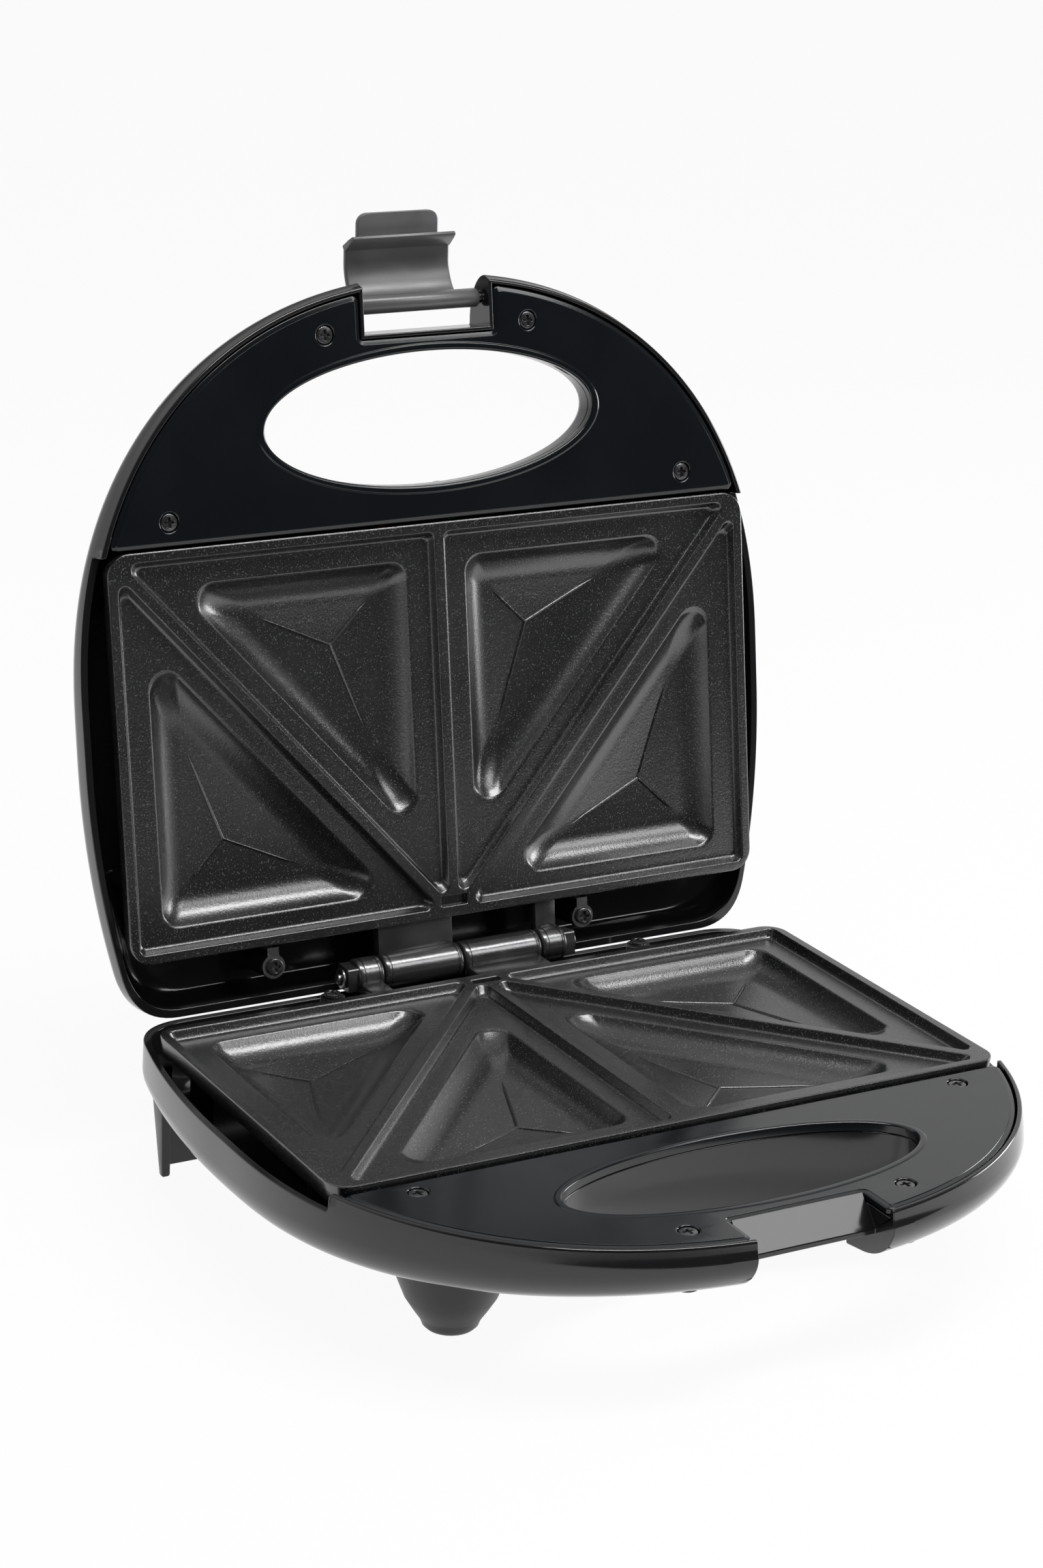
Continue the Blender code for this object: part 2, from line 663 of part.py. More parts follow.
def cover_screw_places():
    """Where the four cover screws stand."""
    side_y = PLATE_FRONT - COVER_SCREW_SIDE_FROM_PLATE
    front_y = PLATE_FRONT - HANDLE_REACH * COVER_SCREW_FRONT_PLACE_SHARE
    return [
        (-COVER_SCREW_SIDE_X, side_y),
        (-COVER_SCREW_FRONT_X, front_y),
        (COVER_SCREW_FRONT_X, front_y),
        (COVER_SCREW_SIDE_X, side_y),
    ]


def rear_boss_places():
    """Where the two screws behind the plate stand."""
    shares = (-REAR_BOSS_LONG_SHARE, REAR_BOSS_SHORT_SHARE)
    return [(PLATE_HALF_WIDTH * share, -REAR_BOSS_FROM_AXIS) for share in shares]


def make_housing(form, name, parent):
    """One moulded housing: outside, hollow, hand hole, notch, bosses, posts and hinge relief."""
    rings, tip = housing_rings(form, 0.0)
    shell = add_piece(name, loft(rings, tip), parent, "gloss_black")
    rings, tip = housing_rings(form, WALL)
    hollow = add_tool(name + "_hollow", loft(rings, tip), parent)
    tube = add_tool(name + "_tube", loft(hole_rings(TUBE_WALL, form)), parent)
    combine(hollow, tube, "DIFFERENCE")
    deep = edge_depth(form, TAIL_ARC_Y) + OVERRUN * 2
    cheek = NOTCH_HALF_WIDTH + WALL
    bar_back = HOLE_Y - HOLE_HALF_WIDTH
    solid_low, solid_high = (-cheek, HANDLE_TIP - OVERRUN, -OVERRUN * 2), (cheek, bar_back, deep)
    nose = add_tool(name + "_nose", block(solid_low, solid_high), parent)
    combine(hollow, nose, "DIFFERENCE")
    combine(shell, hollow, "DIFFERENCE")
    hole = add_tool(name + "_hole", loft(hole_rings(0.0, form)), parent)
    combine(shell, hole, "DIFFERENCE")
    notch = add_tool(name + "_notch", side_prism(notch_outline(form), NOTCH_HALF_WIDTH), parent)
    combine(shell, notch, "DIFFERENCE")
    seat = add_tool(name + "_cover_seat", cover_seat_cut(), parent)
    combine(shell, seat, "DIFFERENCE")
    bed = [(x, y) for x, y, depth in plate_ring(-PLATE_RELIEF, 0.0)]
    rings = [[(x, y, depth) for x, y in bed] for depth in (-OVERRUN, SLOT_DEPTH)]
    combine(shell, add_tool(name + "_plate_bed", loft(rings), parent), "DIFFERENCE")
    wide = SHELL_HALF_WIDTH + OVERRUN
    slot = block((-wide, SLOT_END, -OVERRUN * 2), (wide, REAR_REACH + OVERRUN, SLOT_DEPTH))
    combine(shell, add_tool(name + "_slot", slot, parent), "DIFFERENCE")
    for index, (x, y) in enumerate(cover_screw_places()):
        add_boss(shell, f"{name}_boss_{index}", (x, y), COVER_BOSS_RADIUS, COVER_SEAT, form)
    for index, (x, y) in enumerate(rear_boss_places()):
        add_boss(shell, f"{name}_rear_boss_{index}", (x, y), REAR_BOSS_RADIUS, REAR_BOSS_DEPTH, form)
    for index, (x, y) in enumerate(post_places()):
        post = turned((x, y), [(POST_RADIUS, SLOT_DEPTH), (POST_RADIUS, boss_root(form, y))], SMALL_STEPS)
        combine(shell, add_tool(f"{name}_post_{index}", post, parent), "UNION")
    return shell


def cover_seat_cut():
    """What is cut off the hand hole's wall and the cheeks, so that the cover lies on them."""
    edge = turn_at_place(WALL, HOLE_Y + HOLE_HALF_WIDTH + TUBE_WALL + OVERRUN)
    points = handle_arc(WALL, -edge, edge, ARC_STEPS * 2)
    return loft([[(x, y, depth) for x, y in points] for depth in (-OVERRUN, COVER_SEAT)])


def post_places():
    """Four posts under the flat edge of the plate."""
    x = PLATE_HALF_WIDTH - POST_FROM_SIDE
    rear, front = PLATE_REAR - POST_FROM_REAR, PLATE_FRONT + POST_FROM_FRONT
    return [(-x, rear), (x, rear), (-x, front), (x, front)]


def boss_root(form, y):
    """The depth at which a boss or a post is well inside the housing's wall."""
    return edge_depth(form, y) - WALL / 2


def add_boss(shell, name, place, radius, top, form):
    """A screw boss that stands up from the housing's floor, with its pilot hole."""
    boss = turned(place, [(radius, top), (radius, boss_root(form, place[1]))], SMALL_STEPS + 2)
    combine(shell, add_tool(name, boss, shell.parent), "UNION")
    pilot = SCREW_SHANK_RADIUS + SCREW_PLAY
    hole = turned(place, [(pilot, top - GAP), (pilot, top + PILOT_DEPTH)], PILOT_STEPS)
    combine(shell, add_tool(name + "_pilot", hole, shell.parent), "DIFFERENCE")


def make_cover(form, name, parent):
    """The handle cover: a flat D with a lip round the hand hole and a skirt along its back edge."""
    points = cover_outline(GAP)
    eased = [shrink(points, COVER_EDGE), points, points]
    depths = (HOUSING_GAP, HOUSING_GAP + COVER_EDGE, COVER_UNDER)
    rings = [[(x, y, depth) for x, y in ring] for ring, depth in zip(eased, depths)]
    cover = add_piece(name, loft(rings), parent, "satin_black")
    half = SHELL_HALF_WIDTH - SIDE_MARGIN - PLATE_CORNER - WALL
    low = (-half, COVER_BACK - COVER_SKIRT_WALL, COVER_UNDER - COVER_EDGE)
    skirt = add_tool(name + "_skirt", block(low, (half, COVER_BACK, HOUSING_GAP + COVER_SKIRT)), parent)
    combine(cover, skirt, "UNION")
    size = (HOLE_HALF_LENGTH, HOLE_HALF_WIDTH)
    rings = [ellipse(size[0], size[1], (0.0, HOLE_Y), depth, HOLE_STEPS) for depth in (-OVERRUN, COVER_UNDER + OVERRUN)]
    combine(cover, add_tool(name + "_hole", loft(rings), parent), "DIFFERENCE")
    for index, place in enumerate(cover_screw_places()):
        head, shank = SCREW_HEAD_RADIUS + SCREW_PLAY, SCREW_SHANK_RADIUS + SCREW_PLAY
        floor = HOUSING_GAP + HEAD_SINK + SCREW_HEAD_HEIGHT + GAP
        profile = [(head, -OVERRUN), (head, floor), (shank, floor), (shank, COVER_UNDER + OVERRUN)]
        hole = turned(place, profile, SMALL_STEPS)
        combine(cover, add_tool(f"{name}_screw_hole_{index}", hole, parent), "DIFFERENCE")
    return cover


def shrink(points, amount):
    """Draw an outline in by an amount along its corners' bisectors."""
    drawn = []
    count = len(points)
    area = sum(points[i][0] * points[(i + 1) % count][1] - points[(i + 1) % count][0] * points[i][1] for i in range(count))
    turn = 1 if area > 0 else -1
    for index, point in enumerate(points):
        before = unit(points[index - 1], point)
        after = unit(point, points[(index + 1) % count])
        normals = ((-before[1] * turn, before[0] * turn), (-after[1] * turn, after[0] * turn))
        bisector = unit((0, 0), (normals[0][0] + normals[1][0], normals[0][1] + normals[1][1]))
        reach = amount / (bisector[0] * normals[0][0] + bisector[1] * normals[0][1])
        drawn.append((point[0] + bisector[0] * reach, point[1] + bisector[1] * reach))
    return drawn


def add_screw(name, parent, place, head_top):
    """A pan-head screw whose head starts at a depth and whose shank goes deeper."""
    seat = SCREW_HEAD_HEIGHT
    eased = SCREW_HEAD_RADIUS - HEAD_SINK
    profile = [
        (eased, 0.0),
        (SCREW_HEAD_RADIUS, HEAD_SINK),
        (SCREW_HEAD_RADIUS, seat),
        (SCREW_SHANK_RADIUS, seat),
        (SCREW_SHANK_RADIUS, SCREW_LENGTH),
    ]
    shape = turned((0.0, 0.0), profile, SMALL_STEPS)
    return add_piece(name, shape, parent, "black_screw", (place[0], place[1], head_top))


def cell_corners():
    """The two triangles on the left of the plate between the ridges, with what bounds each side."""
    rear, front, left = PLATE_REAR, PLATE_FRONT, -PLATE_HALF_WIDTH
    by_handle = [(0.0, rear), (0.0, front), (left, front)]
    by_side = [(0.0, rear), (left, front), (left, rear)]
    return by_handle, by_side


def mirror_x(points):
    """The same points on the other side of the plate."""
    return [(-x, y) for x, y in points]


def cell_shape(corners, walls):
    """The hollow between ridges, from above the rim down to the land."""
    upper = inset_triangle(corners, walls)
    lower = inset_triangle(corners, [wall + RIDGE_DRAFT for wall in walls])
    above = inset_triangle(corners, [wall - RIDGE_DRAFT * (OVERRUN / LAND_DROP) for wall in walls])
    rings = []
    for triangle, depth in ((above, GAP - OVERRUN), (upper, GAP), (lower, LAND_DEPTH)):
        points = round_corners(triangle, (CELL_CORNER,) * 3, 2)
        rings.append([(x, y, depth) for x, y in points])
    return loft(rings)


def pocket_rings(corners):
    """A pocket's coved wall, from the land down to the edge of its floor."""
    rings = [[(x, y, LAND_DEPTH - OVERRUN) for x, y in round_corners(corners, (POCKET_CORNER,) * 3, 3)]]
    for share in COVE_SHARES:
        turn = math.pi / 2 * share
        inset = POCKET_COVE * (1 - math.cos(turn))
        depth = LAND_DEPTH + POCKET_DEPTH * math.sin(turn)
        inner = inset_triangle(corners, (inset,) * 3)
        radius = POCKET_CORNER - (POCKET_CORNER - CELL_CORNER) * (1 - math.cos(turn))
        rings.append([(x, y, depth) for x, y in round_corners(inner, (radius,) * 3, 3)])
    return rings


def bulge_rings(corners):
    """The pocket's outside under the plate."""
    rings = []
    stations = (
        (-POCKET_WALL, PLATE_UNDERSIDE - LAND_THICKNESS / 2),
        (-POCKET_WALL, PLATE_UNDERSIDE),
        (POCKET_COVE / 3, PLATE_BOTTOM - POCKET_WALL),
        (POCKET_COVE * 2 / 3, PLATE_BOTTOM),
    )
    for inset, depth in stations:
        inner = inset_triangle(corners, (inset,) * 3)
        rings.append([(x, y, depth) for x, y in round_corners(inner, (POCKET_CORNER,) * 3, 2)])
    return rings


def plate_ring(inset, depth):
    """The plate's round-cornered outline, drawn in by an inset, at one depth."""
    half = PLATE_HALF_WIDTH - inset
    front, rear = PLATE_FRONT + inset, PLATE_REAR - inset
    corners = [(-half, front), (half, front), (half, rear), (-half, rear)]
    return [(x, y, depth) for x, y in round_corners(corners, (PLATE_CORNER - inset,) * 4, CORNER_STEPS)]


def make_plate(name, parent):
    """A cast plate with four pockets, ridges between them, and its half of the hinge."""
    eased = PLATE_DRAFT
    rings = [plate_ring(eased, GAP), plate_ring(0.0, GAP + eased), plate_ring(eased, PLATE_UNDERSIDE)]
    plate = add_piece(name, loft(rings), parent, "nonstick_grey")
    by_handle, by_side = cell_corners()
    ridge, rim = RIDGE_WIDTH / 2, RIM_WIDTH
    cells = ((by_handle, (ridge, rim, ridge)), (by_side, (ridge, rim, rim)))
    margins = (
        (by_handle, (POCKET_FROM_CENTRE, POCKET_FROM_FRONT, POCKET_FROM_RIDGE)),
        (by_side, (POCKET_FROM_RIDGE, POCKET_FROM_SIDE, POCKET_FROM_REAR)),
    )
    for index, (corners, insets) in enumerate(margins):
        for mirrored in (False, True):
            side = "right" if mirrored else "left"
            triangle = inset_triangle(mirror_x(corners) if mirrored else corners, insets)
            bulge = add_tool(f"{name}_bulge_{side}_{index}", loft(bulge_rings(triangle)), parent)
            combine(plate, bulge, "UNION")
    for index, ((corners, walls), (corners_again, insets)) in enumerate(zip(cells, margins)):
        for mirrored in (False, True):
            side = "right" if mirrored else "left"
            outer = mirror_x(corners) if mirrored else corners
            cut = add_tool(f"{name}_cell_{side}_{index}", cell_shape(outer, walls), parent)
            combine(plate, cut, "DIFFERENCE")
            triangle = inset_triangle(outer, insets)
            middle = incentre(triangle)
            rings = pocket_rings(triangle)
            tip = (middle[0], middle[1], POCKET_FLOOR + POCKET_FALL)
            cut = add_tool(f"{name}_pocket_{side}_{index}", loft(rings, tip), parent)
            combine(plate, cut, "DIFFERENCE")
    channel_rear = PLATE_REAR - RIM_WIDTH
    low = (-CHANNEL_WIDTH / 2, channel_rear - CHANNEL_LENGTH, GAP - OVERRUN)
    channel = block(low, (CHANNEL_WIDTH / 2, channel_rear, GAP + CHANNEL_DEPTH))
    combine(plate, add_tool(name + "_channel", channel, parent), "DIFFERENCE")
    add_knuckles(plate, name, parent)
    return plate


def add_knuckles(plate, name, parent):
    """A long knuckle beside the middle, an end knuckle with a stop lug, and the bore through both."""
    long_start = -KNUCKLE_GAP / 2
    long_end = long_start - KNUCKLE_LENGTH
    end_start = -long_end + KNUCKLE_GAP
    end_end = end_start + END_KNUCKLE_LENGTH
    web_depth = KNUCKLE_RADIUS - GAP
    for label, first, last in (("long", long_end, long_start), ("end", end_start, end_end)):
        edge = PLATE_DRAFT
        profile = [
            (KNUCKLE_RADIUS - edge, first),
            (KNUCKLE_RADIUS, first + edge),
            (KNUCKLE_RADIUS, last - edge),
            (KNUCKLE_RADIUS - edge, last),
        ]
        barrel = turned_along_x((0.0, 0.0), profile, SMALL_STEPS * 2)
        combine(plate, add_tool(f"{name}_{label}_knuckle", barrel, parent), "UNION")
        low = (first + edge, PLATE_REAR - RIM_WIDTH / 2, web_depth - KNUCKLE_WEB)
        web = block(low, (last - edge, -PIN_RADIUS - PIN_PLAY - PLATE_DRAFT, web_depth))
        combine(plate, add_tool(f"{name}_{label}_web", web, parent), "UNION")
    half = STOP_LUG_HEIGHT / 2
    lug = block((end_end - PLATE_DRAFT, -half, -half), (end_end + STOP_LUG_LENGTH, half, half))
    combine(plate, add_tool(name + "_stop_lug", lug, parent), "UNION")
    bore = PIN_RADIUS + PIN_PLAY
    reach = HINGE_HALF_LENGTH + STOP_LUG_LENGTH + OVERRUN
    hole = turned_along_x((0.0, 0.0), [(bore, -reach), (bore, reach)], ROUND_STEPS)
    combine(plate, add_tool(name + "_bore", hole, parent), "DIFFERENCE")


def make_hinge_pin(parent):
    """The steel pin with its rolled head, and the clip on its other end."""
    head = PIN_HEAD_SEAT
    profile = [
        (PIN_HEAD_RADIUS, -head - PIN_HEAD_LENGTH),
        (PIN_HEAD_RADIUS, -head),
        (PIN_RADIUS, -head),
        (PIN_RADIUS, PIN_END),
    ]
    add_piece("hinge_pin", turned_along_x((0.0, 0.0), profile, SMALL_STEPS), parent, "zinc")
    profile = [(CLIP_RADIUS, head), (CLIP_RADIUS, head + CLIP_THICKNESS)]
    clip = add_piece("hinge_pin_clip", turned_along_x((0.0, 0.0), profile), parent, "zinc")
    bore = PIN_RADIUS + PIN_PLAY
    profile = [(bore, head - OVERRUN), (bore, head + OVERRUN)]
    hole = add_tool("hinge_pin_clip_bore", turned_along_x((0.0, 0.0), profile, SMALL_STEPS), parent)
    combine(clip, hole, "DIFFERENCE")


def element_points():
    """The element's centre line: out along the rear, round a half turn, and back along the front."""
    rear, front = ELEMENT_REAR, ELEMENT_FRONT
    radius = (rear - front) / 2
    steps = 10
    points = [(-ELEMENT_END_X, rear)]
    for step in range(steps + 1):
        turn = math.pi / 2 - math.pi * step / steps
        points.append((ELEMENT_BEND_X + radius * math.cos(turn), (rear + front) / 2 + radius * math.sin(turn)))
    points.append((-ELEMENT_END_X, front))
    return points


def make_element(name, parent):
    """A tubular heater bent in a U under the plate."""
    line = bpy.data.curves.new(name, "CURVE")
    line.dimensions = "3D"
    line.bevel_depth = ELEMENT_RADIUS
    line.bevel_resolution = 2
    line.use_fill_caps = True
    spline = line.splines.new("POLY")
    points = element_points()
    spline.points.add(len(points) - 1)
    for point, (x, y) in zip(spline.points, points):
        point.co = (x, y, ELEMENT_DEPTH, 1.0)
    line.materials.append(finish("element_steel"))
    element = bpy.data.objects.new(name, line)
    element.parent = parent
    bpy.context.scene.collection.objects.link(element)
    return element


def make_clamp(name, parent, x, y):
    """A sheet saddle over the element with its two feet on the underside of a pocket."""
    inner, outer = CLAMP_INNER, CLAMP_INNER + CLAMP_SHEET
    foot_near, foot_far = PLATE_BOTTOM + GAP, PLATE_BOTTOM + GAP + CLAMP_SHEET
    steps = 6
    outline_points = [(outer + CLAMP_FOOT, foot_near), (inner, foot_near), (inner, ELEMENT_DEPTH)]
    for step in range(1, steps):
        turn = math.pi * step / steps
        outline_points.append((inner * math.cos(turn), ELEMENT_DEPTH + inner * math.sin(turn)))
    outline_points += [(-inner, ELEMENT_DEPTH), (-inner, foot_near), (-outer - CLAMP_FOOT, foot_near)]
    outline_points += [(-outer - CLAMP_FOOT, foot_far), (-outer, foot_far), (-outer, ELEMENT_DEPTH)]
    for step in range(1, steps):
        turn = math.pi - math.pi * step / steps
        outline_points.append((outer * math.cos(turn), ELEMENT_DEPTH + outer * math.sin(turn)))
    outline_points += [(outer, ELEMENT_DEPTH), (outer, foot_far), (outer + CLAMP_FOOT, foot_far)]
    return add_piece(name, side_prism(outline_points, CLAMP_WIDTH / 2), parent, "steel_sheet", (x, y, 0.0))


def pan_ring(half_width, rear, front, depth, inset):
    """A rounded rectangle of the reflector pan."""
    half = half_width - inset
    corners = [(-half, front + inset), (half, front + inset), (half, rear - inset), (-half, rear - inset)]
    return [(x, y, depth) for x, y in round_corners(corners, (PAN_CORNER - inset,) * 4, 3)]


def make_reflector(name, parent):
    """A thin steel pan under the element, with two ears that the rear screws hold."""
    half = PLATE_HALF_WIDTH
    top = (half - PAN_TOP_FROM_SIDE, PLATE_REAR - PAN_TOP_REAR, PLATE_FRONT + PAN_TOP_FRONT)
    floor = (half - PAN_FLOOR_FROM_SIDE, PLATE_REAR - PAN_FLOOR_REAR, PLATE_FRONT + PAN_FLOOR_FRONT)
    rings = [
        pan_ring(*floor, PAN_FLOOR, SHEET),
        pan_ring(*top, PAN_TOP, SHEET),
        pan_ring(*top, PAN_TOP, 0.0),
        pan_ring(*floor, PAN_FLOOR + SHEET, 0.0),
    ]
    pan = add_piece(name, loft(rings), parent, "steel_sheet")
    step_front = PLATE_REAR + EAR_STEP_FROM_PLATE
    step_rear = step_front + EAR_SHEET
    root = PLATE_REAR - PAN_TOP_REAR - SHEET * 2
    strip = [
        (root, PAN_TOP),
        (step_front, PAN_TOP),
        (step_front, EAR_TOP),
        (-REAR_BOSS_FROM_AXIS, EAR_TOP),
        (-REAR_BOSS_FROM_AXIS, EAR_TOP + EAR_SHEET),
        (step_rear, EAR_TOP + EAR_SHEET),
        (step_rear, PAN_TOP + EAR_SHEET),
        (root, PAN_TOP + EAR_SHEET),
    ]
    for index, place in enumerate(rear_boss_places()):
        strap = side_prism(strip, REAR_BOSS_RADIUS / 2, place[0])
        combine(pan, add_tool(f"{name}_strap_{index}", strap, parent), "UNION")
        disc = turned(place, [(REAR_BOSS_RADIUS, EAR_TOP), (REAR_BOSS_RADIUS, EAR_TOP + EAR_SHEET)])
        combine(pan, add_tool(f"{name}_ear_{index}", disc, parent), "UNION")
        hole = SCREW_SHANK_RADIUS + SCREW_PLAY
        cut = turned(place, [(hole, EAR_TOP - OVERRUN), (hole, EAR_TOP + OVERRUN)], SMALL_STEPS)
        combine(pan, add_tool(f"{name}_ear_hole_{index}", cut, parent), "DIFFERENCE")
    return pan


def make_half(form, parent):
    """All that the two halves have in common."""
    plate_word = "lower" if form == "base" else "upper"
    housing = make_housing(form, form + "_shell", parent)
    make_cover(form, form + "_handle_cover", parent)
    head_top = HOUSING_GAP + HEAD_SINK
    for index, place in enumerate(cover_screw_places()):
        add_screw(f"{form}_cover_screw_{index + 1}", parent, place, head_top)
    make_plate(plate_word + "_plate", parent)
    make_element(plate_word + "_element", parent)
    rear_x, front_x = -PLATE_HALF_WIDTH * CLAMP_REAR_SHARE, PLATE_HALF_WIDTH * CLAMP_FRONT_SHARE
    make_clamp(plate_word + "_element_clamp_rear", parent, rear_x, ELEMENT_REAR)
    make_clamp(plate_word + "_element_clamp_front", parent, front_x, ELEMENT_FRONT)
    make_reflector(plate_word + "_reflector", parent)
    for index, place in enumerate(rear_boss_places()):
        top = EAR_TOP - GAP - SCREW_HEAD_HEIGHT
        add_screw(f"{plate_word}_reflector_screw_{index + 1}", parent, place, top)
    return housing


def leg_bar(sections):
    """A tapering bar through rectangles given as ((x0, x1, y0, y1), depth)."""
    rings = []
    for (x0, x1, y0, y1), depth in sections:
        rings.append([(x0, y0, depth), (x1, y0, depth), (x1, y1, depth), (x0, y1, depth)])
    return loft(rings)


def leg_rear(depth):
    """How far before the axis the back of a leg stands at a depth."""
    share = (depth - LEG_TOP_DEPTH) / (AXIS_HEIGHT - LEG_TOP_DEPTH)
    return LEG_TOP_REAR + (LEG_FOOT_REAR - LEG_TOP_REAR) * share


def add_legs(shell, parent):
    """Two rear legs: an upright flange at the side, round at its foot, and a web behind it."""
    ease = LEG_ROUND / 2
    low = AXIS_HEIGHT - LEG_ROUND
    web_root, web_end = BASE_SIDE_DEPTH - WALL, AXIS_HEIGHT - LEG_WEB_CLEAR
    for sign, label in ((1, "a"), (-1, "b")):
        sections = []
        for wall, depth, drawn in (
            (LEG_TOP_WALL, LEG_TOP_DEPTH, 0.0),
            (LEG_FOOT_WALL, low, 0.0),
            (LEG_FOOT_WALL, AXIS_HEIGHT, ease),
        ):
            xs = sorted((sign * (LEG_X - drawn), sign * (LEG_X - wall + drawn)))
            sections.append(((*xs, -LEG_FRONT + drawn, -leg_rear(depth) - drawn), depth))
        flange = leg_bar(sections)
        combine(shell, add_tool(f"leg_flange_{label}", flange, parent), "UNION")
        sections = []
        for width, depth in ((LEG_WEB_TOP, web_root), (LEG_WEB_FOOT, web_end)):
            xs = sorted((sign * (LEG_X - PLATE_DRAFT), sign * (LEG_X - width)))
            back = -leg_rear(depth) - PLATE_DRAFT
            sections.append(((*xs, back - LEG_WEB_WALL, back), depth))
        combine(shell, add_tool(f"leg_web_{label}", leg_bar(sections), parent), "UNION")


def make_feet(shell, parent):
    """Two cone feet pressed into pads under the front of the base."""
    root = boss_root("base", FOOT_Y)
    for sign, label in ((-1, "right"), (1, "left")):
        place = (sign * FOOT_X, FOOT_Y)
        pad = turned(place, [(FOOT_PAD_RADIUS, root), (FOOT_PAD_RADIUS, FOOT_SEAT_DEPTH)])
        combine(shell, add_tool(f"foot_pad_{label}", pad, parent), "UNION")
        seat = FOOT_SEAT_DEPTH + GAP
        socket_radius = FOOT_SPIGOT_RADIUS + GAP
        socket_floor = FOOT_SEAT_DEPTH - FOOT_SPIGOT_LENGTH
        socket = turned(place, [(socket_radius, socket_floor), (socket_radius, FOOT_SEAT_DEPTH + OVERRUN)])
        combine(shell, add_tool(f"foot_socket_{label}", socket, parent), "DIFFERENCE")
        profile = [
            (FOOT_SPIGOT_RADIUS, socket_floor + GAP),
            (FOOT_SPIGOT_RADIUS, seat),
            (FOOT_TOP_RADIUS, seat),
            (FOOT_MIDDLE_RADIUS, AXIS_HEIGHT - FOOT_MIDDLE_HEIGHT),
            (FOOT_LOW_RADIUS, AXIS_HEIGHT - FOOT_LOW_HEIGHT),
            ((FOOT_LOW_RADIUS + FOOT_BOTTOM_RADIUS) / 2, AXIS_HEIGHT - FOOT_ROUND),
            (FOOT_BOTTOM_RADIUS, AXIS_HEIGHT),
        ]
        add_piece(f"front_foot_{label}", turned(place, profile, ROUND_STEPS + 4), parent, "matte_black")


def make_base_fittings(parent):
    """Thermostat, thermal fuse, terminal block and lead bush."""
    near = PLATE_BOTTOM + GAP
    place = (PLATE_HALF_WIDTH * THERMOSTAT_SIDE_SHARE, PLATE_REAR - PLATE_DEPTH * THERMOSTAT_PLACE_SHARE)
    step = THERMOSTAT_RADIUS - TAB_SHEET
    profile = [
        (THERMOSTAT_RADIUS, near),
        (THERMOSTAT_RADIUS, near + THERMOSTAT_HEIGHT / 2),
        (step, near + THERMOSTAT_HEIGHT / 2),
        (step, near + THERMOSTAT_HEIGHT),
    ]
    thermostat = add_piece("thermostat", turned(place, profile, ROUND_STEPS + 4), parent, "ceramic")
    for sign, label in ((-1, "left"), (1, "right")):
        start = place[0] + sign * (step - TAB_SHEET)
        end = place[0] + sign * (step + TAB_LENGTH)
        x0, x1 = sorted((start, end))
        middle = near + THERMOSTAT_HEIGHT * 3 / 4
        low = (x0, place[1] - TAB_WIDTH / 2, middle - TAB_SHEET / 2)
        tab = block(low, (x1, place[1] + TAB_WIDTH / 2, middle + TAB_SHEET / 2))
        combine(thermostat, add_tool(f"thermostat_tab_{label}", tab, parent), "UNION")
    middle = (PLATE_REAR - FUSE_FROM_PLATE, near + FUSE_RADIUS)
    fuse_x, half = PAN_FLOOR_FROM_SIDE + FUSE_FROM_PAN_SIDE - PLATE_HALF_WIDTH, FUSE_LENGTH / 2
    profile = [
        (FUSE_RADIUS / 2, fuse_x - half),
        (FUSE_RADIUS, fuse_x - half + FUSE_RADIUS),
        (FUSE_RADIUS, fuse_x + half - FUSE_RADIUS),
        (FUSE_RADIUS / 2, fuse_x + half),
    ]
    add_piece("thermal_fuse", turned_along_x(middle, profile, SMALL_STEPS), parent, "ceramic")
    floor = BASE_SIDE_DEPTH - WALL - GAP
    low = (-BLOCK_LENGTH / 2, -BLOCK_FROM_AXIS - BLOCK_WIDTH / 2, floor - BLOCK_HEIGHT)
    high = (BLOCK_LENGTH / 2, -BLOCK_FROM_AXIS + BLOCK_WIDTH / 2, floor)
    terminals = add_piece("terminal_block", block(low, high), parent, "ceramic")
    wells = 3
    for index in range(wells):
        x = (index - (wells - 1) / 2) * BLOCK_LENGTH / wells
        top = floor - BLOCK_HEIGHT
        profile = [(BLOCK_WELL_RADIUS, top - OVERRUN), (BLOCK_WELL_RADIUS, top + BLOCK_WELL_DEPTH)]
        well = turned((x, -BLOCK_FROM_AXIS), profile, SMALL_STEPS)
        combine(terminals, add_tool(f"terminal_well_{index}", well, parent), "DIFFERENCE")


def add_bush(shell, parent):
    """The bush for the supply lead in the base's rear wall, and its hole."""
    centre = (BUSH_X, BUSH_DEPTH)
    neck = BUSH_NECK_RADIUS
    outer_face = REAR_REACH + GAP
    inner_face = REAR_REACH - WALL - GAP
    hole_radius = neck + GAP
    hole = turned_along_y(centre, [(hole_radius, inner_face - OVERRUN), (hole_radius, outer_face + OVERRUN)])
    combine(shell, add_tool("bush_hole", hole, parent), "DIFFERENCE")
    profile = [
        (BUSH_FLANGE_RADIUS, inner_face - BUSH_FLANGE),
        (BUSH_FLANGE_RADIUS, inner_face),
        (neck, inner_face),
        (neck, outer_face),
        (BUSH_FLANGE_RADIUS, outer_face),
        (BUSH_FLANGE_RADIUS, outer_face + BUSH_FLANGE),
    ]
    bush = add_piece("lead_bush", turned_along_y(centre, profile), parent, "matte_black")
    ends = (inner_face - BUSH_FLANGE - OVERRUN, outer_face + BUSH_FLANGE + OVERRUN)
    bore = turned_along_y(centre, [(BUSH_BORE_RADIUS, ends[0]), (BUSH_BORE_RADIUS, ends[1])])
    combine(bush, add_tool("lead_bush_bore", bore, parent), "DIFFERENCE")


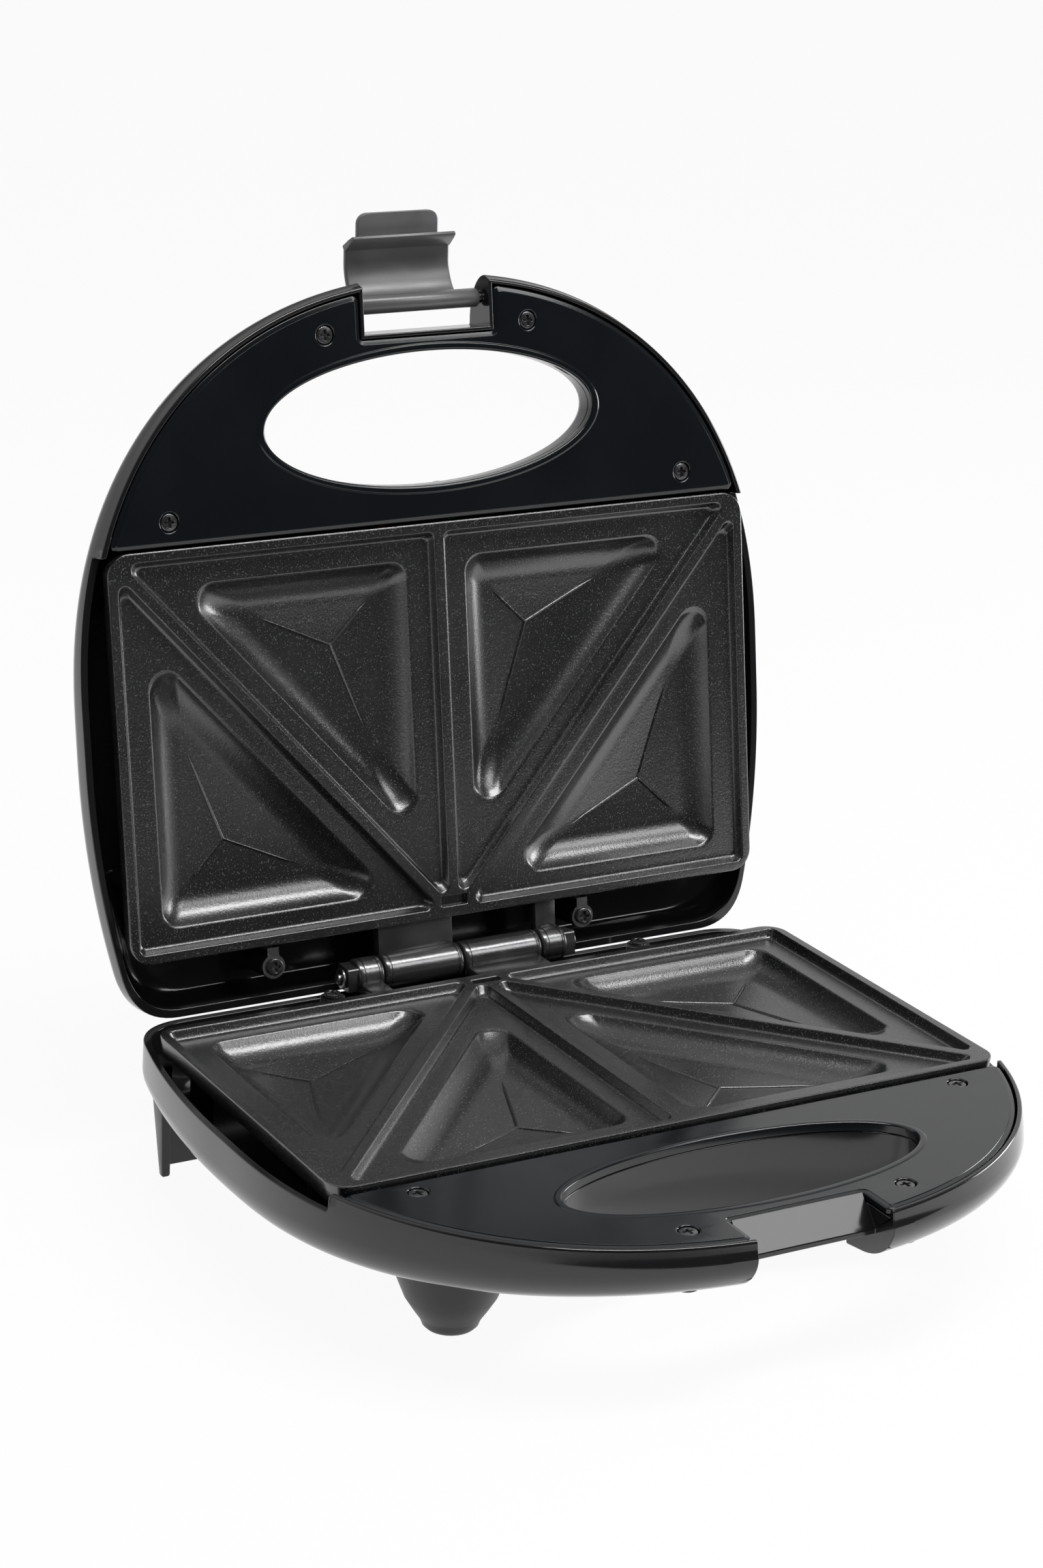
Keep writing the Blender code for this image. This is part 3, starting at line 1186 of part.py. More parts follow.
def add_signal_lamps(shell, parent):
    """Two lenses in round recesses of the lid, each with a neon lamp in its stem."""
    y = COVER_BACK - LENS_BEHIND_COVER
    rows = ((-LENS_X, "power", "red_lens"), (LENS_X, "ready", "green_lens"))
    for x, word, colour in rows:
        place = (x, y)
        pad_near = LENS_SEAT_DEPTH - LENS_PAD
        pad = turned(place, [(LENS_PAD_RADIUS, pad_near), (LENS_PAD_RADIUS, LENS_SEAT_DEPTH + LENS_PAD / 2)])
        combine(shell, add_tool(f"{word}_pad", pad, parent), "UNION")
        stem_hole = LENS_STEM_RADIUS + GAP
        far = LENS_SEAT_DEPTH + OVERRUN * 2
        profile = [
            (stem_hole, pad_near - OVERRUN),
            (stem_hole, LENS_SEAT_DEPTH),
            (LENS_RECESS_RADIUS, LENS_SEAT_DEPTH),
            (LENS_RECESS_RADIUS, far),
        ]
        combine(shell, add_tool(f"{word}_recess", turned(place, profile, ROUND_STEPS + 4), parent), "DIFFERENCE")
        seat = LENS_SEAT_DEPTH + GAP
        profile = [
            (LENS_STEM_RADIUS, seat - LENS_STEM_LENGTH),
            (LENS_STEM_RADIUS, seat),
            (LENS_FLANGE_RADIUS, seat),
            (LENS_FLANGE_RADIUS, seat + LENS_FLANGE),
            (LENS_FLANGE_RADIUS - LENS_CROWN, seat + LENS_FLANGE + LENS_CROWN),
        ]
        lens = add_piece(f"{word}_lens", turned(place, profile), parent, colour)
        bore = LAMP_RADIUS + GAP
        roof = seat + LENS_FLANGE - LENS_ROOF
        profile = [(bore, seat - LENS_STEM_LENGTH - OVERRUN), (bore, roof)]
        combine(lens, add_tool(f"{word}_lens_bore", turned(place, profile, SMALL_STEPS), parent), "DIFFERENCE")
        lamp_far = roof - GAP
        profile = [
            (LAMP_RADIUS, lamp_far - LAMP_LENGTH),
            (LAMP_RADIUS, lamp_far - LAMP_RADIUS / 2),
            (LAMP_RADIUS / 2, lamp_far),
        ]
        add_piece(f"{word}_lamp", turned(place, profile, SMALL_STEPS), parent, "lamp_glass")


def latch_line():
    """The latch's middle line hanging from the pivot: round the front of the barrel, down its belly, to the tab."""
    points = []
    neck_centre = (LATCH_NECK_RADIUS - LATCH_FORWARD, -LATCH_NECK_RADIUS - LATCH_THICKNESS / 2 + BARREL_RADIUS / 2)
    steps = 5
    for step in range(steps + 1):
        turn = math.pi - LATCH_NECK_TURN * (1 - step / steps)
        y = neck_centre[0] + LATCH_NECK_RADIUS * math.cos(turn)
        z = neck_centre[1] + LATCH_NECK_RADIUS * math.sin(turn)
        points.append((y, z, turn))
    start = points[-1]
    belly_centre = (start[0] + LATCH_BELLY_RADIUS, start[1])
    steps = 4
    for step in range(1, steps + 1):
        turn = math.pi + LATCH_BELLY_TURN * step / steps
        y = belly_centre[0] + LATCH_BELLY_RADIUS * math.cos(turn)
        z = belly_centre[1] + LATCH_BELLY_RADIUS * math.sin(turn)
        points.append((y, z, turn))
    y, z, turn = points[-1]
    points.append((y - LATCH_TAIL * math.sin(turn), z + LATCH_TAIL * math.cos(turn), turn))
    return points


def latch_profile(line):
    """The latch's bent plate from the side: its outer face, then its inner face back."""
    half = LATCH_THICKNESS / 2
    outside = [(y + half * math.cos(turn), z + half * math.sin(turn)) for y, z, turn in line]
    inside = [(y - half * math.cos(turn), z - half * math.sin(turn)) for y, z, turn in line]
    return outside + inside[::-1]


def latch_tab_trim(line):
    """What the bent plate is trimmed to: full width down to the hook, then a round-cornered tab."""
    tab, corner = LATCH_TAB_HALF_WIDTH, LATCH_TAB_CORNER
    tip_y, tip_z, turn = line[-1]
    end = tip_z + LATCH_THICKNESS / 2 * math.sin(turn)
    below = -LATCH_HOOK_DEPTH - LATCH_HOOK_THICKNESS
    right = []
    steps = 4
    for step in range(steps + 1):
        across = math.pi / 2 * step / steps
        right.append((tab - corner + corner * math.sin(across), end + corner - corner * math.cos(across)))
    wide, top = LATCH_HALF_WIDTH + OVERRUN, BARREL_RADIUS
    right += [(tab, below), (wide, below), (wide, top)]
    points = right + [(-x, z) for x, z in reversed(right)]
    reach = LATCH_TAIL + LATCH_BELLY_RADIUS
    return loft([[(x, y, z) for x, z in points] for y in (-reach, reach)])


def make_latch(parent):
    """The curved latch: a barrel on its pin, a bellied plate, a hook rib and a finger tab."""
    line = latch_line()
    bent = side_prism(latch_profile(line), LATCH_HALF_WIDTH)
    latch = add_piece("latch", bent, parent, "latch_grey")
    combine(latch, add_tool("latch_tab_trim", latch_tab_trim(line), parent), "INTERSECT")
    profile = [(BARREL_RADIUS, -BARREL_HALF_LENGTH), (BARREL_RADIUS, BARREL_HALF_LENGTH)]
    barrel = turned_along_x((0.0, 0.0), profile)
    combine(latch, add_tool("latch_barrel", barrel, parent), "UNION")
    hook_tip = NOTCH_Y - BAR_SLOPE - PIVOT_Y + LATCH_HOOK_REACH
    top, bottom = -LATCH_HOOK_DEPTH, -LATCH_HOOK_DEPTH - LATCH_HOOK_THICKNESS
    (tail_y, tail_z, turn), (tip_y, tip_z, turn) = line[-2:]
    share = (tail_z - (top + bottom) / 2) / (tail_z - tip_z)
    near_plate = tail_y + (tip_y - tail_y) * share
    low = (-LATCH_HALF_WIDTH - GAP, near_plate, bottom)
    hook = block(low, (LATCH_HALF_WIDTH + GAP, hook_tip, top))
    combine(latch, add_tool("latch_hook", hook, parent), "UNION")
    bore = LATCH_PIN_RADIUS + PIN_PLAY
    reach = LATCH_HALF_WIDTH + OVERRUN
    hole = turned_along_x((0.0, 0.0), [(bore, -reach), (bore, reach)], SMALL_STEPS)
    combine(latch, add_tool("latch_bore", hole, parent), "DIFFERENCE")
    return latch


def make_latch_pin(shell, parent):
    """The pin across the lid's notch, and its seats in the cheeks."""
    centre = (PIVOT_Y, PIVOT_DEPTH)
    seat = NOTCH_HALF_WIDTH + LATCH_PIN_SEAT
    hole = LATCH_PIN_RADIUS + PIN_PLAY
    cut = turned_along_x(centre, [(hole, -seat), (hole, seat)], SMALL_STEPS)
    combine(shell, add_tool("latch_pin_seats", cut, parent), "DIFFERENCE")
    reach = seat - GAP
    profile = [(LATCH_PIN_RADIUS, -reach), (LATCH_PIN_RADIUS, reach)]
    add_piece("latch_pin", turned_along_x(centre, profile, SMALL_STEPS), parent, "zinc")


def rear_reach_open():
    """How far behind the axis the open lid reaches: the tip of its thrown-back latch."""
    swing = -LATCH_SWING
    reaches = []
    for y, z in latch_profile(latch_line()):
        back_y = PIVOT_Y + y * math.cos(swing) - z * math.sin(swing)
        back_z = PIVOT_DEPTH + y * math.sin(swing) + z * math.cos(swing)
        reaches.append(back_y * math.cos(OPEN_ANGLE) + back_z * math.sin(OPEN_ANGLE))
    return max(reaches)


def front_reach():
    """How far before the axis the base reaches: its handle's arc, beside the notch."""
    turn = turn_at_width(0.0, NOTCH_HALF_WIDTH)
    return HANDLE_ARC_Y - HANDLE_LENGTH * math.cos(turn) ** (2 / HANDLE_LENGTH_POWER)


def build():
    """Build every piece of the open sandwich maker."""
    clear_scene()
    axis_y = -(front_reach() + rear_reach_open()) / 2
    axis = (0.0, axis_y, AXIS_HEIGHT)
    base = add_frame("base_frame", None, axis, (0, math.pi, 0))
    lid = add_frame("lid_frame", None, axis, (-OPEN_ANGLE, 0, 0))
    pivot = (0.0, PIVOT_Y, PIVOT_DEPTH)
    latch = add_frame("latch_frame", lid, pivot, (-LATCH_SWING, 0, 0))
    base_shell = make_half("base", base)
    lid_shell = make_half("lid", lid)
    add_legs(base_shell, base)
    make_feet(base_shell, base)
    add_bush(base_shell, base)
    make_base_fittings(base)
    make_hinge_pin(base)
    add_signal_lamps(lid_shell, lid)
    make_latch_pin(lid_shell, lid)
    make_latch(latch)


build()
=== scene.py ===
# %% [markdown]
# # An open sandwich maker
#
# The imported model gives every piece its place: two housings on a hinge, a coated grill plate in
# each, and a latch. This lesson loads that model as a fixed frame and dresses it. Each surface
# that the eye meets is worked out again with numpy, on finer grids, and gets a finish made of
# shader nodes. Nothing is moved: a new piece takes the place of a plain one, or a plain one
# keeps its shape and gets a better finish. All sizes are in metres.

import json
import math

import bmesh
import bpy
import numpy as np
from mathutils import Matrix


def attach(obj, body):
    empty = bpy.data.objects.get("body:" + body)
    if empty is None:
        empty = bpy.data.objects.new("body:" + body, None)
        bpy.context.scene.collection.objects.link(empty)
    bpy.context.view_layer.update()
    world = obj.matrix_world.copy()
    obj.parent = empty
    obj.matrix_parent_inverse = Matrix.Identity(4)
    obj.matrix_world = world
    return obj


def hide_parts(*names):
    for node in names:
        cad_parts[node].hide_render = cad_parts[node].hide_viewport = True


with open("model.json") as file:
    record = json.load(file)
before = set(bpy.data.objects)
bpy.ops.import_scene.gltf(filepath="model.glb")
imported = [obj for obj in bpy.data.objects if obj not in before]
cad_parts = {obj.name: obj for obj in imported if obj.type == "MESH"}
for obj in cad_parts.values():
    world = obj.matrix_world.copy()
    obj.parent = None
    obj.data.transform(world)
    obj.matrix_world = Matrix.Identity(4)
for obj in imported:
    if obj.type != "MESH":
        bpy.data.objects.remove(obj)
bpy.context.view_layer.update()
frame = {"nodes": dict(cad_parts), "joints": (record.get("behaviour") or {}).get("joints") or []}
joints = {joint["name"]: joint for joint in frame["joints"]}

# %% [markdown]
# ## The half frames
#
# The real object is two near twins that meet face to face. It is easiest to draw one half lying
# on its back, with its origin on the hinge axis: X along the axis, Y negative towards the handle,
# Z the depth away from the meeting plane. A matrix then carries a drawing to its place. The base
# is turned half a turn about Y, the lid is swung open about X, and the latch, drawn hooked, is
# swung back on its own pin first. The numbers could be typed again for each half, but one drawing
# and three matrices keep the halves alike.

# %% Matrices from the half frames to the world
hinge = joints["lid_hinge"]["pos_m"]
OPEN_ANGLE = math.radians(joints["lid_hinge"]["range_deg"][1])
LATCH_SWING = math.radians(joints["latch_pivot"]["range_deg"][1])

GAP = 0.0003
PLATE_HALF_WIDTH = 0.1090
PLATE_DEPTH = 0.1240
PLATE_CORNER = 0.0070
PLATE_REAR = -0.0137
PLATE_FRONT = PLATE_REAR - PLATE_DEPTH
HALF_WIDTH = PLATE_HALF_WIDTH + 0.0085
HANDLE_ARC_Y = PLATE_FRONT + 0.0490
HANDLE_LENGTH = 0.1240
HANDLE_TIP = HANDLE_ARC_Y - HANDLE_LENGTH
HANDLE_REACH = PLATE_FRONT - HANDLE_TIP
PIVOT_Y = PLATE_FRONT - HANDLE_REACH * 0.891
PIVOT_DEPTH = 0.0078
PIN_SEAT = 0.0243

base_matrix = Matrix.Translation(hinge) @ Matrix.Rotation(math.pi, 4, "Y")
lid_matrix = Matrix.Translation(hinge) @ Matrix.Rotation(-OPEN_ANGLE, 4, "X")
pivot_matrix = Matrix.Translation((0.0, PIVOT_Y, PIVOT_DEPTH))
latch_matrix = lid_matrix @ pivot_matrix @ Matrix.Rotation(-LATCH_SWING, 4, "X")
PLACES = {"base": base_matrix, "lid": lid_matrix, "latch": latch_matrix}
print("hinge at", hinge, "latch pivot at", [round(v, 4) for v in latch_matrix.translation])

# %% [markdown]
# ## From arrays to meshes
#
# A skin is a pair: an array of points, and a list of face arrays, each with one row of corner
# numbers per face. Skins are worked out as whole arrays. One function then makes the mesh, turns
# its faces outwards, hangs it on its body's empty and hides the plain piece that it replaces.
# The same forms could be modelled by hand in Edit Mode. Arrays keep every radius exact, and one
# formula serves each piece that shares it.


# %% Skins from rings
def lofted(rings, start="closed", end="closed"):
    """Quads between neighbouring rings of equal count. A closed end gets triangles from its last
    ring to a middle point, which is the ring's mean unless a point is given."""
    rings = np.asarray(rings, float)
    count, around = rings.shape[:2]
    index = np.arange(count * around).reshape(count, around)
    after = np.roll(index, -1, axis=1)
    quads = np.stack([index[:-1], after[:-1], after[1:], index[1:]], axis=-1).reshape(-1, 4)
    points, faces = rings.reshape(-1, 3), [quads]
    for way, row in ((start, 0), (end, -1)):
        if isinstance(way, str) and way == "open":
            continue
        middle = rings[row].mean(axis=0) if isinstance(way, str) else np.asarray(way, float)
        hub = np.full(around, len(points))
        points = np.vstack([points, middle])
        faces.append(np.stack([index[row], after[row], hub], axis=-1))
    return points, faces


def joined(*skins):
    """One skin of several: the points in a row, each skin's corner numbers moved up to match."""
    points, faces, count = [], [], 0
    for some_points, some_faces in skins:
        points.append(some_points)
        faces += [rows + count for rows in some_faces]
        count += len(some_points)
    return np.vstack(points), faces


def turned(centre, profile, steps=64):
    """A turned form about the depth axis: (radius, depth) pairs carried round a full turn."""
    turns = np.linspace(0, 2 * math.pi, steps, endpoint=False)
    profile = np.asarray(profile, float)
    across = centre[0] + profile[:, :1] * np.cos(turns)
    along = centre[1] + profile[:, :1] * np.sin(turns)
    depth = np.broadcast_to(profile[:, 1:], across.shape)
    return lofted(np.stack([across, along, depth], axis=-1))


def turned_ring(centre, profile, steps=64):
    """A turned form with a bore: a closed (radius, depth) outline carried round a full turn."""
    points, faces = turned(centre, profile, steps)
    count = len(profile) * steps
    index = np.arange(count).reshape(len(profile), steps)
    rows = np.vstack([index, index[:1]])
    after = np.roll(rows, -1, axis=1)
    quads = np.stack([rows[:-1], after[:-1], after[1:], rows[1:]], axis=-1).reshape(-1, 4)
    return points[:count], [quads]


def along_x(skin, centre):
    """Lay a form turned about the depth axis along X, round the point (y, depth) given."""
    points, faces = skin
    laid = np.stack([points[:, 2], centre[0] + points[:, 0], centre[1] + points[:, 1]], axis=-1)
    return laid, faces


def along_y(skin, centre):
    """Lay a form turned about the depth axis along Y, round the point (x, depth) given."""
    points, faces = skin
    laid = np.stack([centre[0] + points[:, 0], points[:, 2], centre[1] + points[:, 1]], axis=-1)
    return laid, faces


bead = turned_ring((0.0, 0.0), [(0.002, 0.0), (0.003, 0.0), (0.003, 0.001), (0.002, 0.001)], 24)
print("a ring of 24 steps has", len(bead[0]), "points and", len(bead[1][0]), "faces")


# %% Flat faces and roundings
def flat_face(loops, depth):
    """The plane region inside the first loop and outside the others, in triangles."""
    points = np.vstack([at_depth(loop, depth) for loop in loops])
    ends = np.cumsum([len(loop) for loop in loops])
    index = np.split(np.arange(len(points)), ends[:-1])
    edges = np.vstack([np.stack([np.roll(row, 1), row], axis=-1) for row in index])
    mesh = bpy.data.meshes.new("flat face")
    mesh.from_pydata(points.tolist(), edges.tolist(), [])
    shape = bmesh.new()
    shape.from_mesh(mesh)
    bmesh.ops.triangle_fill(shape, use_beauty=True, edges=shape.edges[:], normal=(0, 0, 1))
    shape.to_mesh(mesh)
    shape.free()
    points = np.zeros(len(mesh.vertices) * 3)
    mesh.vertices.foreach_get("co", points)
    faces = np.zeros(len(mesh.loops), np.int32)
    mesh.loops.foreach_get("vertex_index", faces)
    bpy.data.meshes.remove(mesh)
    return points.reshape(-1, 3), [faces.reshape(-1, 3)]


def rounding(radius, first, last, steps):
    """(away, down) pairs of an arc: radius times (1 - sin), radius times (1 - cos) of the angle."""
    angles = np.radians(np.linspace(first, last, steps))
    return np.stack([radius * (1 - np.sin(angles)), radius * (1 - np.cos(angles))], axis=-1)


print("a rounding starts and ends at", rounding(0.0008, 0, 90, 6)[[0, -1]].round(5).tolist())


# %% From a skin to a mesh
MERGE = 2e-6


def cleaned(mesh):
    """Merge a mesh's touching points and turn its faces outwards."""
    shape = bmesh.new()
    shape.from_mesh(mesh)
    bmesh.ops.remove_doubles(shape, verts=shape.verts, dist=MERGE)
    bmesh.ops.dissolve_degenerate(shape, edges=shape.edges, dist=1e-7)
    bmesh.ops.recalc_face_normals(shape, faces=shape.faces)
    shape.to_mesh(mesh)
    shape.free()
    return mesh


def rough_mesh(name, skin):
    """A cleaned mesh of the skin as it is."""
    points, faces = skin
    mesh = bpy.data.meshes.new(name)
    mesh.from_pydata(points.tolist(), [], sum((rows.tolist() for rows in faces), []))
    return cleaned(mesh)


def linked(name, mesh):
    """Put a mesh into the scene as an object at the origin."""
    piece = bpy.data.objects.new(name, mesh)
    bpy.context.scene.collection.objects.link(piece)
    return piece


def fixed_mesh(piece):
    """The piece's mesh with its modifiers applied, as a new mesh."""
    graph = bpy.context.evaluated_depsgraph_get()
    return bpy.data.meshes.new_from_object(piece.evaluated_get(graph))


print("points closer than", round(MERGE * 1e6), "micrometres are merged")


# %% From a mesh to a piece of the object
SHARP = math.radians(38.0)
made_pieces = []


def settle(piece, body, finish, stands_for=(), angle=SHARP):
    """Shade a piece, give it its finish, hang it on its body's empty and hide what it stands for.
    """
    mesh = piece.data
    mesh.shade_smooth()
    if angle:
        mesh.set_sharp_from_angle(angle=angle)
    mesh.materials.clear()
    mesh.materials.append(finish)
    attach(piece, body)
    if stands_for:
        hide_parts(*stands_for)
    made_pieces.append(piece)
    print(f"{piece.name}: {len(mesh.polygons)} faces")
    return piece


def make_piece(name, skin, body, finish, stands_for=(), angle=SHARP):
    """A finished piece from a skin drawn in its body's half frame."""
    mesh = rough_mesh(name, skin)
    mesh.transform(PLACES[body])
    return settle(linked(name, mesh), body, finish, stands_for, angle)


def carved(target, cuts):
    """Take each cut, a skin or a mesh, out of the target skin, and return the resulting mesh."""
    piece = linked("carving", rough_mesh("carving", target))
    helpers = []
    for cut in cuts:
        is_mesh = isinstance(cut, bpy.types.Mesh)
        helper = linked("tool", cleaned(cut) if is_mesh else rough_mesh("tool", cut))
        helper.hide_render = True
        step = piece.modifiers.new("cut", "BOOLEAN")
        step.operation = "DIFFERENCE"
        step.object = helper
        step.solver = "EXACT"
        helpers.append(helper)
    mesh = fixed_mesh(piece)
    for item in [piece] + helpers:
        data = item.data
        bpy.data.objects.remove(item, do_unlink=True)
        bpy.data.meshes.remove(data)
    return mesh


print("edges that turn by more than", round(math.degrees(SHARP)), "degrees stay sharp")


# %% [markdown]
# ## Shared surface effects
#
# Moulded plastic and a baked coating differ in scale, not in kind: both have a fine grain that
# scatters a highlight, and both pick up faint smudges that change how sharp a reflection is. Each
# effect is built once as a node group, and every material places it with values of its own. A
# painted image could hold the same marks, but it would need a laid-out surface and would blur
# when seen close. Noise on object coordinates stays sharp at any distance.


# %% Node helpers
def new_group(name, inputs, outputs):
    """An empty shader node group with named sockets: (name, type, value) in, (name, type) out."""
    group = bpy.data.node_groups.new(name, "ShaderNodeTree")
    for label, kind, value in inputs:
        socket = group.interface.new_socket(name=label, in_out="INPUT", socket_type=kind)
        if value is not None:
            socket.default_value = value
    for label, kind in outputs:
        group.interface.new_socket(name=label, in_out="OUTPUT", socket_type=kind)
    return group, group.nodes.new("NodeGroupInput"), group.nodes.new("NodeGroupOutput")


def feed(tree, node, values):
    """Link or type each value into the node's input of that name or number."""
    for label, value in values.items():
        if isinstance(value, bpy.types.NodeSocket):
            tree.links.new(value, node.inputs[label])
        else:
            node.inputs[label].default_value = value


def new_node(tree, kind, values=None, **settings):
    """A shader node with its settings made first and its inputs fed after."""
    node = tree.nodes.new("ShaderNode" + kind)
    for label, setting in settings.items():
        setattr(node, label, setting)
    feed(tree, node, values or {})
    return node


def math_node(tree, operation, *values):
    """The result of a Math node, whose inputs are linked or typed in."""
    return new_node(tree, "Math", dict(enumerate(values)), operation=operation).outputs[0]


def noise_node(tree, vector, scale, detail, roughness):
    """A noise texture's value at a linked or typed scale."""
    values = {"Vector": vector, "Scale": scale, "Detail": detail, "Roughness": roughness}
    return new_node(tree, "TexNoise", values).outputs["Fac"]


def range_node(tree, value, low, high, to_low=0.0, to_high=1.0):
    """The result of a Map Range node, eased at both ends."""
    values = {"Value": value, "From Min": low, "From Max": high,
              "To Min": to_low, "To Max": to_high}
    return new_node(tree, "MapRange", values, interpolation_type="SMOOTHSTEP").outputs["Result"]


def colour_mix(tree, mask, first, second):
    """Two colours, linked or typed in, mixed by a mask."""
    values = {"Factor": mask, "A": first, "B": second}
    return new_node(tree, "Mix", values, data_type="RGBA").outputs["Result"]


helpers = (new_group, feed, new_node, math_node, noise_node, range_node, colour_mix)
print("helpers", [maker.__name__ for maker in helpers])


# %% The two node groups
VECTOR, NUMBER = "NodeSocketVector", "NodeSocketFloat"
grain, grain_in, grain_out = new_group(
    "Surface grain",
    (("Vector", VECTOR, None), ("Scale", NUMBER, 900.0), ("Waviness", NUMBER, 0.2)),
    (("Height", NUMBER), ("Speck", NUMBER)),
)
fine = noise_node(grain, grain_in.outputs["Vector"], grain_in.outputs["Scale"], 3.0, 0.6)
slow_scale = math_node(grain, "MULTIPLY", grain_in.outputs["Scale"], 0.12)
slow = noise_node(grain, grain_in.outputs["Vector"], slow_scale, 1.0, 0.4)
waves = math_node(grain, "MULTIPLY", slow, grain_in.outputs["Waviness"])
grain.links.new(math_node(grain, "ADD", fine, waves), grain_out.inputs["Height"])
speck_scale = math_node(grain, "MULTIPLY", grain_in.outputs["Scale"], 1.7)
specks = noise_node(grain, grain_in.outputs["Vector"], speck_scale, 0.0, 0.5)
grain.links.new(range_node(grain, specks, 0.62, 0.80), grain_out.inputs["Speck"])

smudge, smudge_in, smudge_out = new_group(
    "Handling smudges",
    (("Vector", VECTOR, None), ("Scale", NUMBER, 30.0), ("Clean", NUMBER, 0.1),
     ("Touched", NUMBER, 0.2)),
    (("Roughness", NUMBER), ("Mask", NUMBER)),
)
clouds = noise_node(smudge, smudge_in.outputs["Vector"], smudge_in.outputs["Scale"], 5.0, 0.55)
mask = range_node(smudge, clouds, 0.38, 0.68)
spread = math_node(smudge, "SUBTRACT", smudge_in.outputs["Touched"], smudge_in.outputs["Clean"])
level = math_node(smudge, "MULTIPLY_ADD", mask, spread, smudge_in.outputs["Clean"])
smudge.links.new(level, smudge_out.inputs["Roughness"])
smudge.links.new(mask, smudge_out.inputs["Mask"])
print("node groups", [group.name for group in bpy.data.node_groups])

# %% [markdown]
# ## Finishes
#
# A finish is a Principled shader with the groups placed round it. Its colour is two close colours
# mixed by a mask, its roughness comes from the smudges, and a Bump node turns the grain's height
# into a small tilt of the surface. Numbers that are the same all over, such as the coat or the
# specular level, are typed straight into the shader. A glossy and a satin plastic could share one
# material with a switch, but separate ones are easier to read and to change.


# %% The finish maker
def make_finish(name, colour, second, grain_scale, bump, clean, touched, metallic=0.0,
                smudge_scale=30.0, waviness=0.2, distance=0.0001, speck=None, **constants):
    """A material: two colours mixed by smudges, roughness from clean to touched, grained bump."""
    made = bpy.data.materials.new(name)
    made.use_nodes = True
    made.diffuse_color = (*colour, 1.0)
    tree = made.node_tree
    place = new_node(tree, "TexCoord").outputs["Object"]
    values = {"Vector": place, "Scale": grain_scale, "Waviness": waviness}
    grains = new_node(tree, "Group", values, node_tree=grain)
    values = {"Vector": place, "Scale": smudge_scale, "Clean": clean, "Touched": touched}
    smudges = new_node(tree, "Group", values, node_tree=smudge)
    paint = colour_mix(tree, smudges.outputs["Mask"], (*colour, 1.0), (*second, 1.0))
    if speck:
        paint = colour_mix(tree, grains.outputs["Speck"], paint, (*speck, 1.0))
    values = {"Strength": bump, "Distance": distance, "Height": grains.outputs["Height"]}
    tilt = new_node(tree, "Bump", values)
    feed(tree, tree.nodes["Principled BSDF"], {
        "Base Color": paint, "Roughness": smudges.outputs["Roughness"], "Metallic": metallic,
        "Normal": tilt.outputs["Normal"],
        **{label.replace("_", " "): value for label, value in constants.items()},
    })
    return made


print("each finish places the groups", grain.name, "and", smudge.name)


# %% The finishes of this object
# In order: the name, two colours, the grain's scale, the bump, the clean and touched roughness.
gloss_black = make_finish("Gloss black moulding", (0.0085, 0.0085, 0.0095),
                          (0.0100, 0.0100, 0.0110), 500.0, 0.05, 0.12, 0.16,
                          smudge_scale=24.0, waviness=2.0, Specular_IOR_Level=0.55)
cover_black = make_finish("Polished black cover", (0.0040, 0.0052, 0.0066),
                          (0.0052, 0.0064, 0.0080),
                          900.0, 0.06, 0.15, 0.19, smudge_scale=20.0, waviness=1.0)
coating = make_finish("Non-stick coating", (0.0065, 0.0070, 0.0068), (0.0080, 0.0086, 0.0084),
                      1300.0, 0.50, 0.25, 0.29, smudge_scale=18.0, waviness=0.3, distance=0.00011,
                      speck=(0.070, 0.074, 0.074), Specular_IOR_Level=0.85, IOR=1.62)
knuckle_metal = make_finish("Painted hinge casting", (0.120, 0.121, 0.123), (0.150, 0.151, 0.153),
                            1300.0, 0.35, 0.20, 0.27, metallic=0.85, smudge_scale=90.0)
# The latch is black plastic like the housings. Its dark grey colour is painted sheen that stands in
# for the overhead lamp's light on its satin face.
latch_plastic_painted_sheen = make_finish("Satin latch plastic", (0.078, 0.078, 0.080), (0.092, 0.092, 0.095),
                            1800.0, 0.20, 0.30, 0.36, smudge_scale=60.0, Specular_IOR_Level=0.6)
foot_plastic = make_finish("Matt foot plastic", (0.016, 0.017, 0.018), (0.020, 0.021, 0.022),
                           1600.0, 0.35, 0.36, 0.46, smudge_scale=70.0)
screw_black = make_finish("Blackened screw", (0.110, 0.110, 0.114), (0.170, 0.170, 0.174),
                          2500.0, 0.20, 0.20, 0.30, metallic=0.9, smudge_scale=400.0)
bright_zinc = make_finish("Zinc-plated steel", (0.40, 0.41, 0.42), (0.48, 0.48, 0.47),
                          2200.0, 0.20, 0.26, 0.38, metallic=1.0, smudge_scale=220.0)
sheet_steel = make_finish("Rolled sheet steel", (0.42, 0.42, 0.42), (0.50, 0.50, 0.49),
                          1200.0, 0.25, 0.26, 0.40, metallic=1.0, smudge_scale=60.0)
heater_steel = make_finish("Heater sheath", (0.16, 0.155, 0.15), (0.24, 0.22, 0.20),
                           1500.0, 0.40, 0.40, 0.55, metallic=0.9, smudge_scale=120.0)
glazed_ceramic = make_finish("Glazed ceramic", (0.66, 0.64, 0.58), (0.72, 0.70, 0.65),
                             900.0, 0.15, 0.30, 0.48, smudge_scale=110.0)
red_glass = make_finish("Red signal lens", (0.42, 0.012, 0.010), (0.36, 0.010, 0.008),
                        700.0, 0.05, 0.10, 0.18, smudge_scale=200.0, Coat_Weight=0.4)
green_glass = make_finish("Green signal lens", (0.020, 0.26, 0.045), (0.018, 0.22, 0.040),
                          700.0, 0.05, 0.10, 0.18, smudge_scale=200.0, Coat_Weight=0.4)
neon_glass = make_finish("Neon lamp glass", (0.66, 0.62, 0.56), (0.74, 0.66, 0.56),
                         600.0, 0.05, 0.06, 0.14, smudge_scale=260.0)
print("finishes", len(bpy.data.materials))

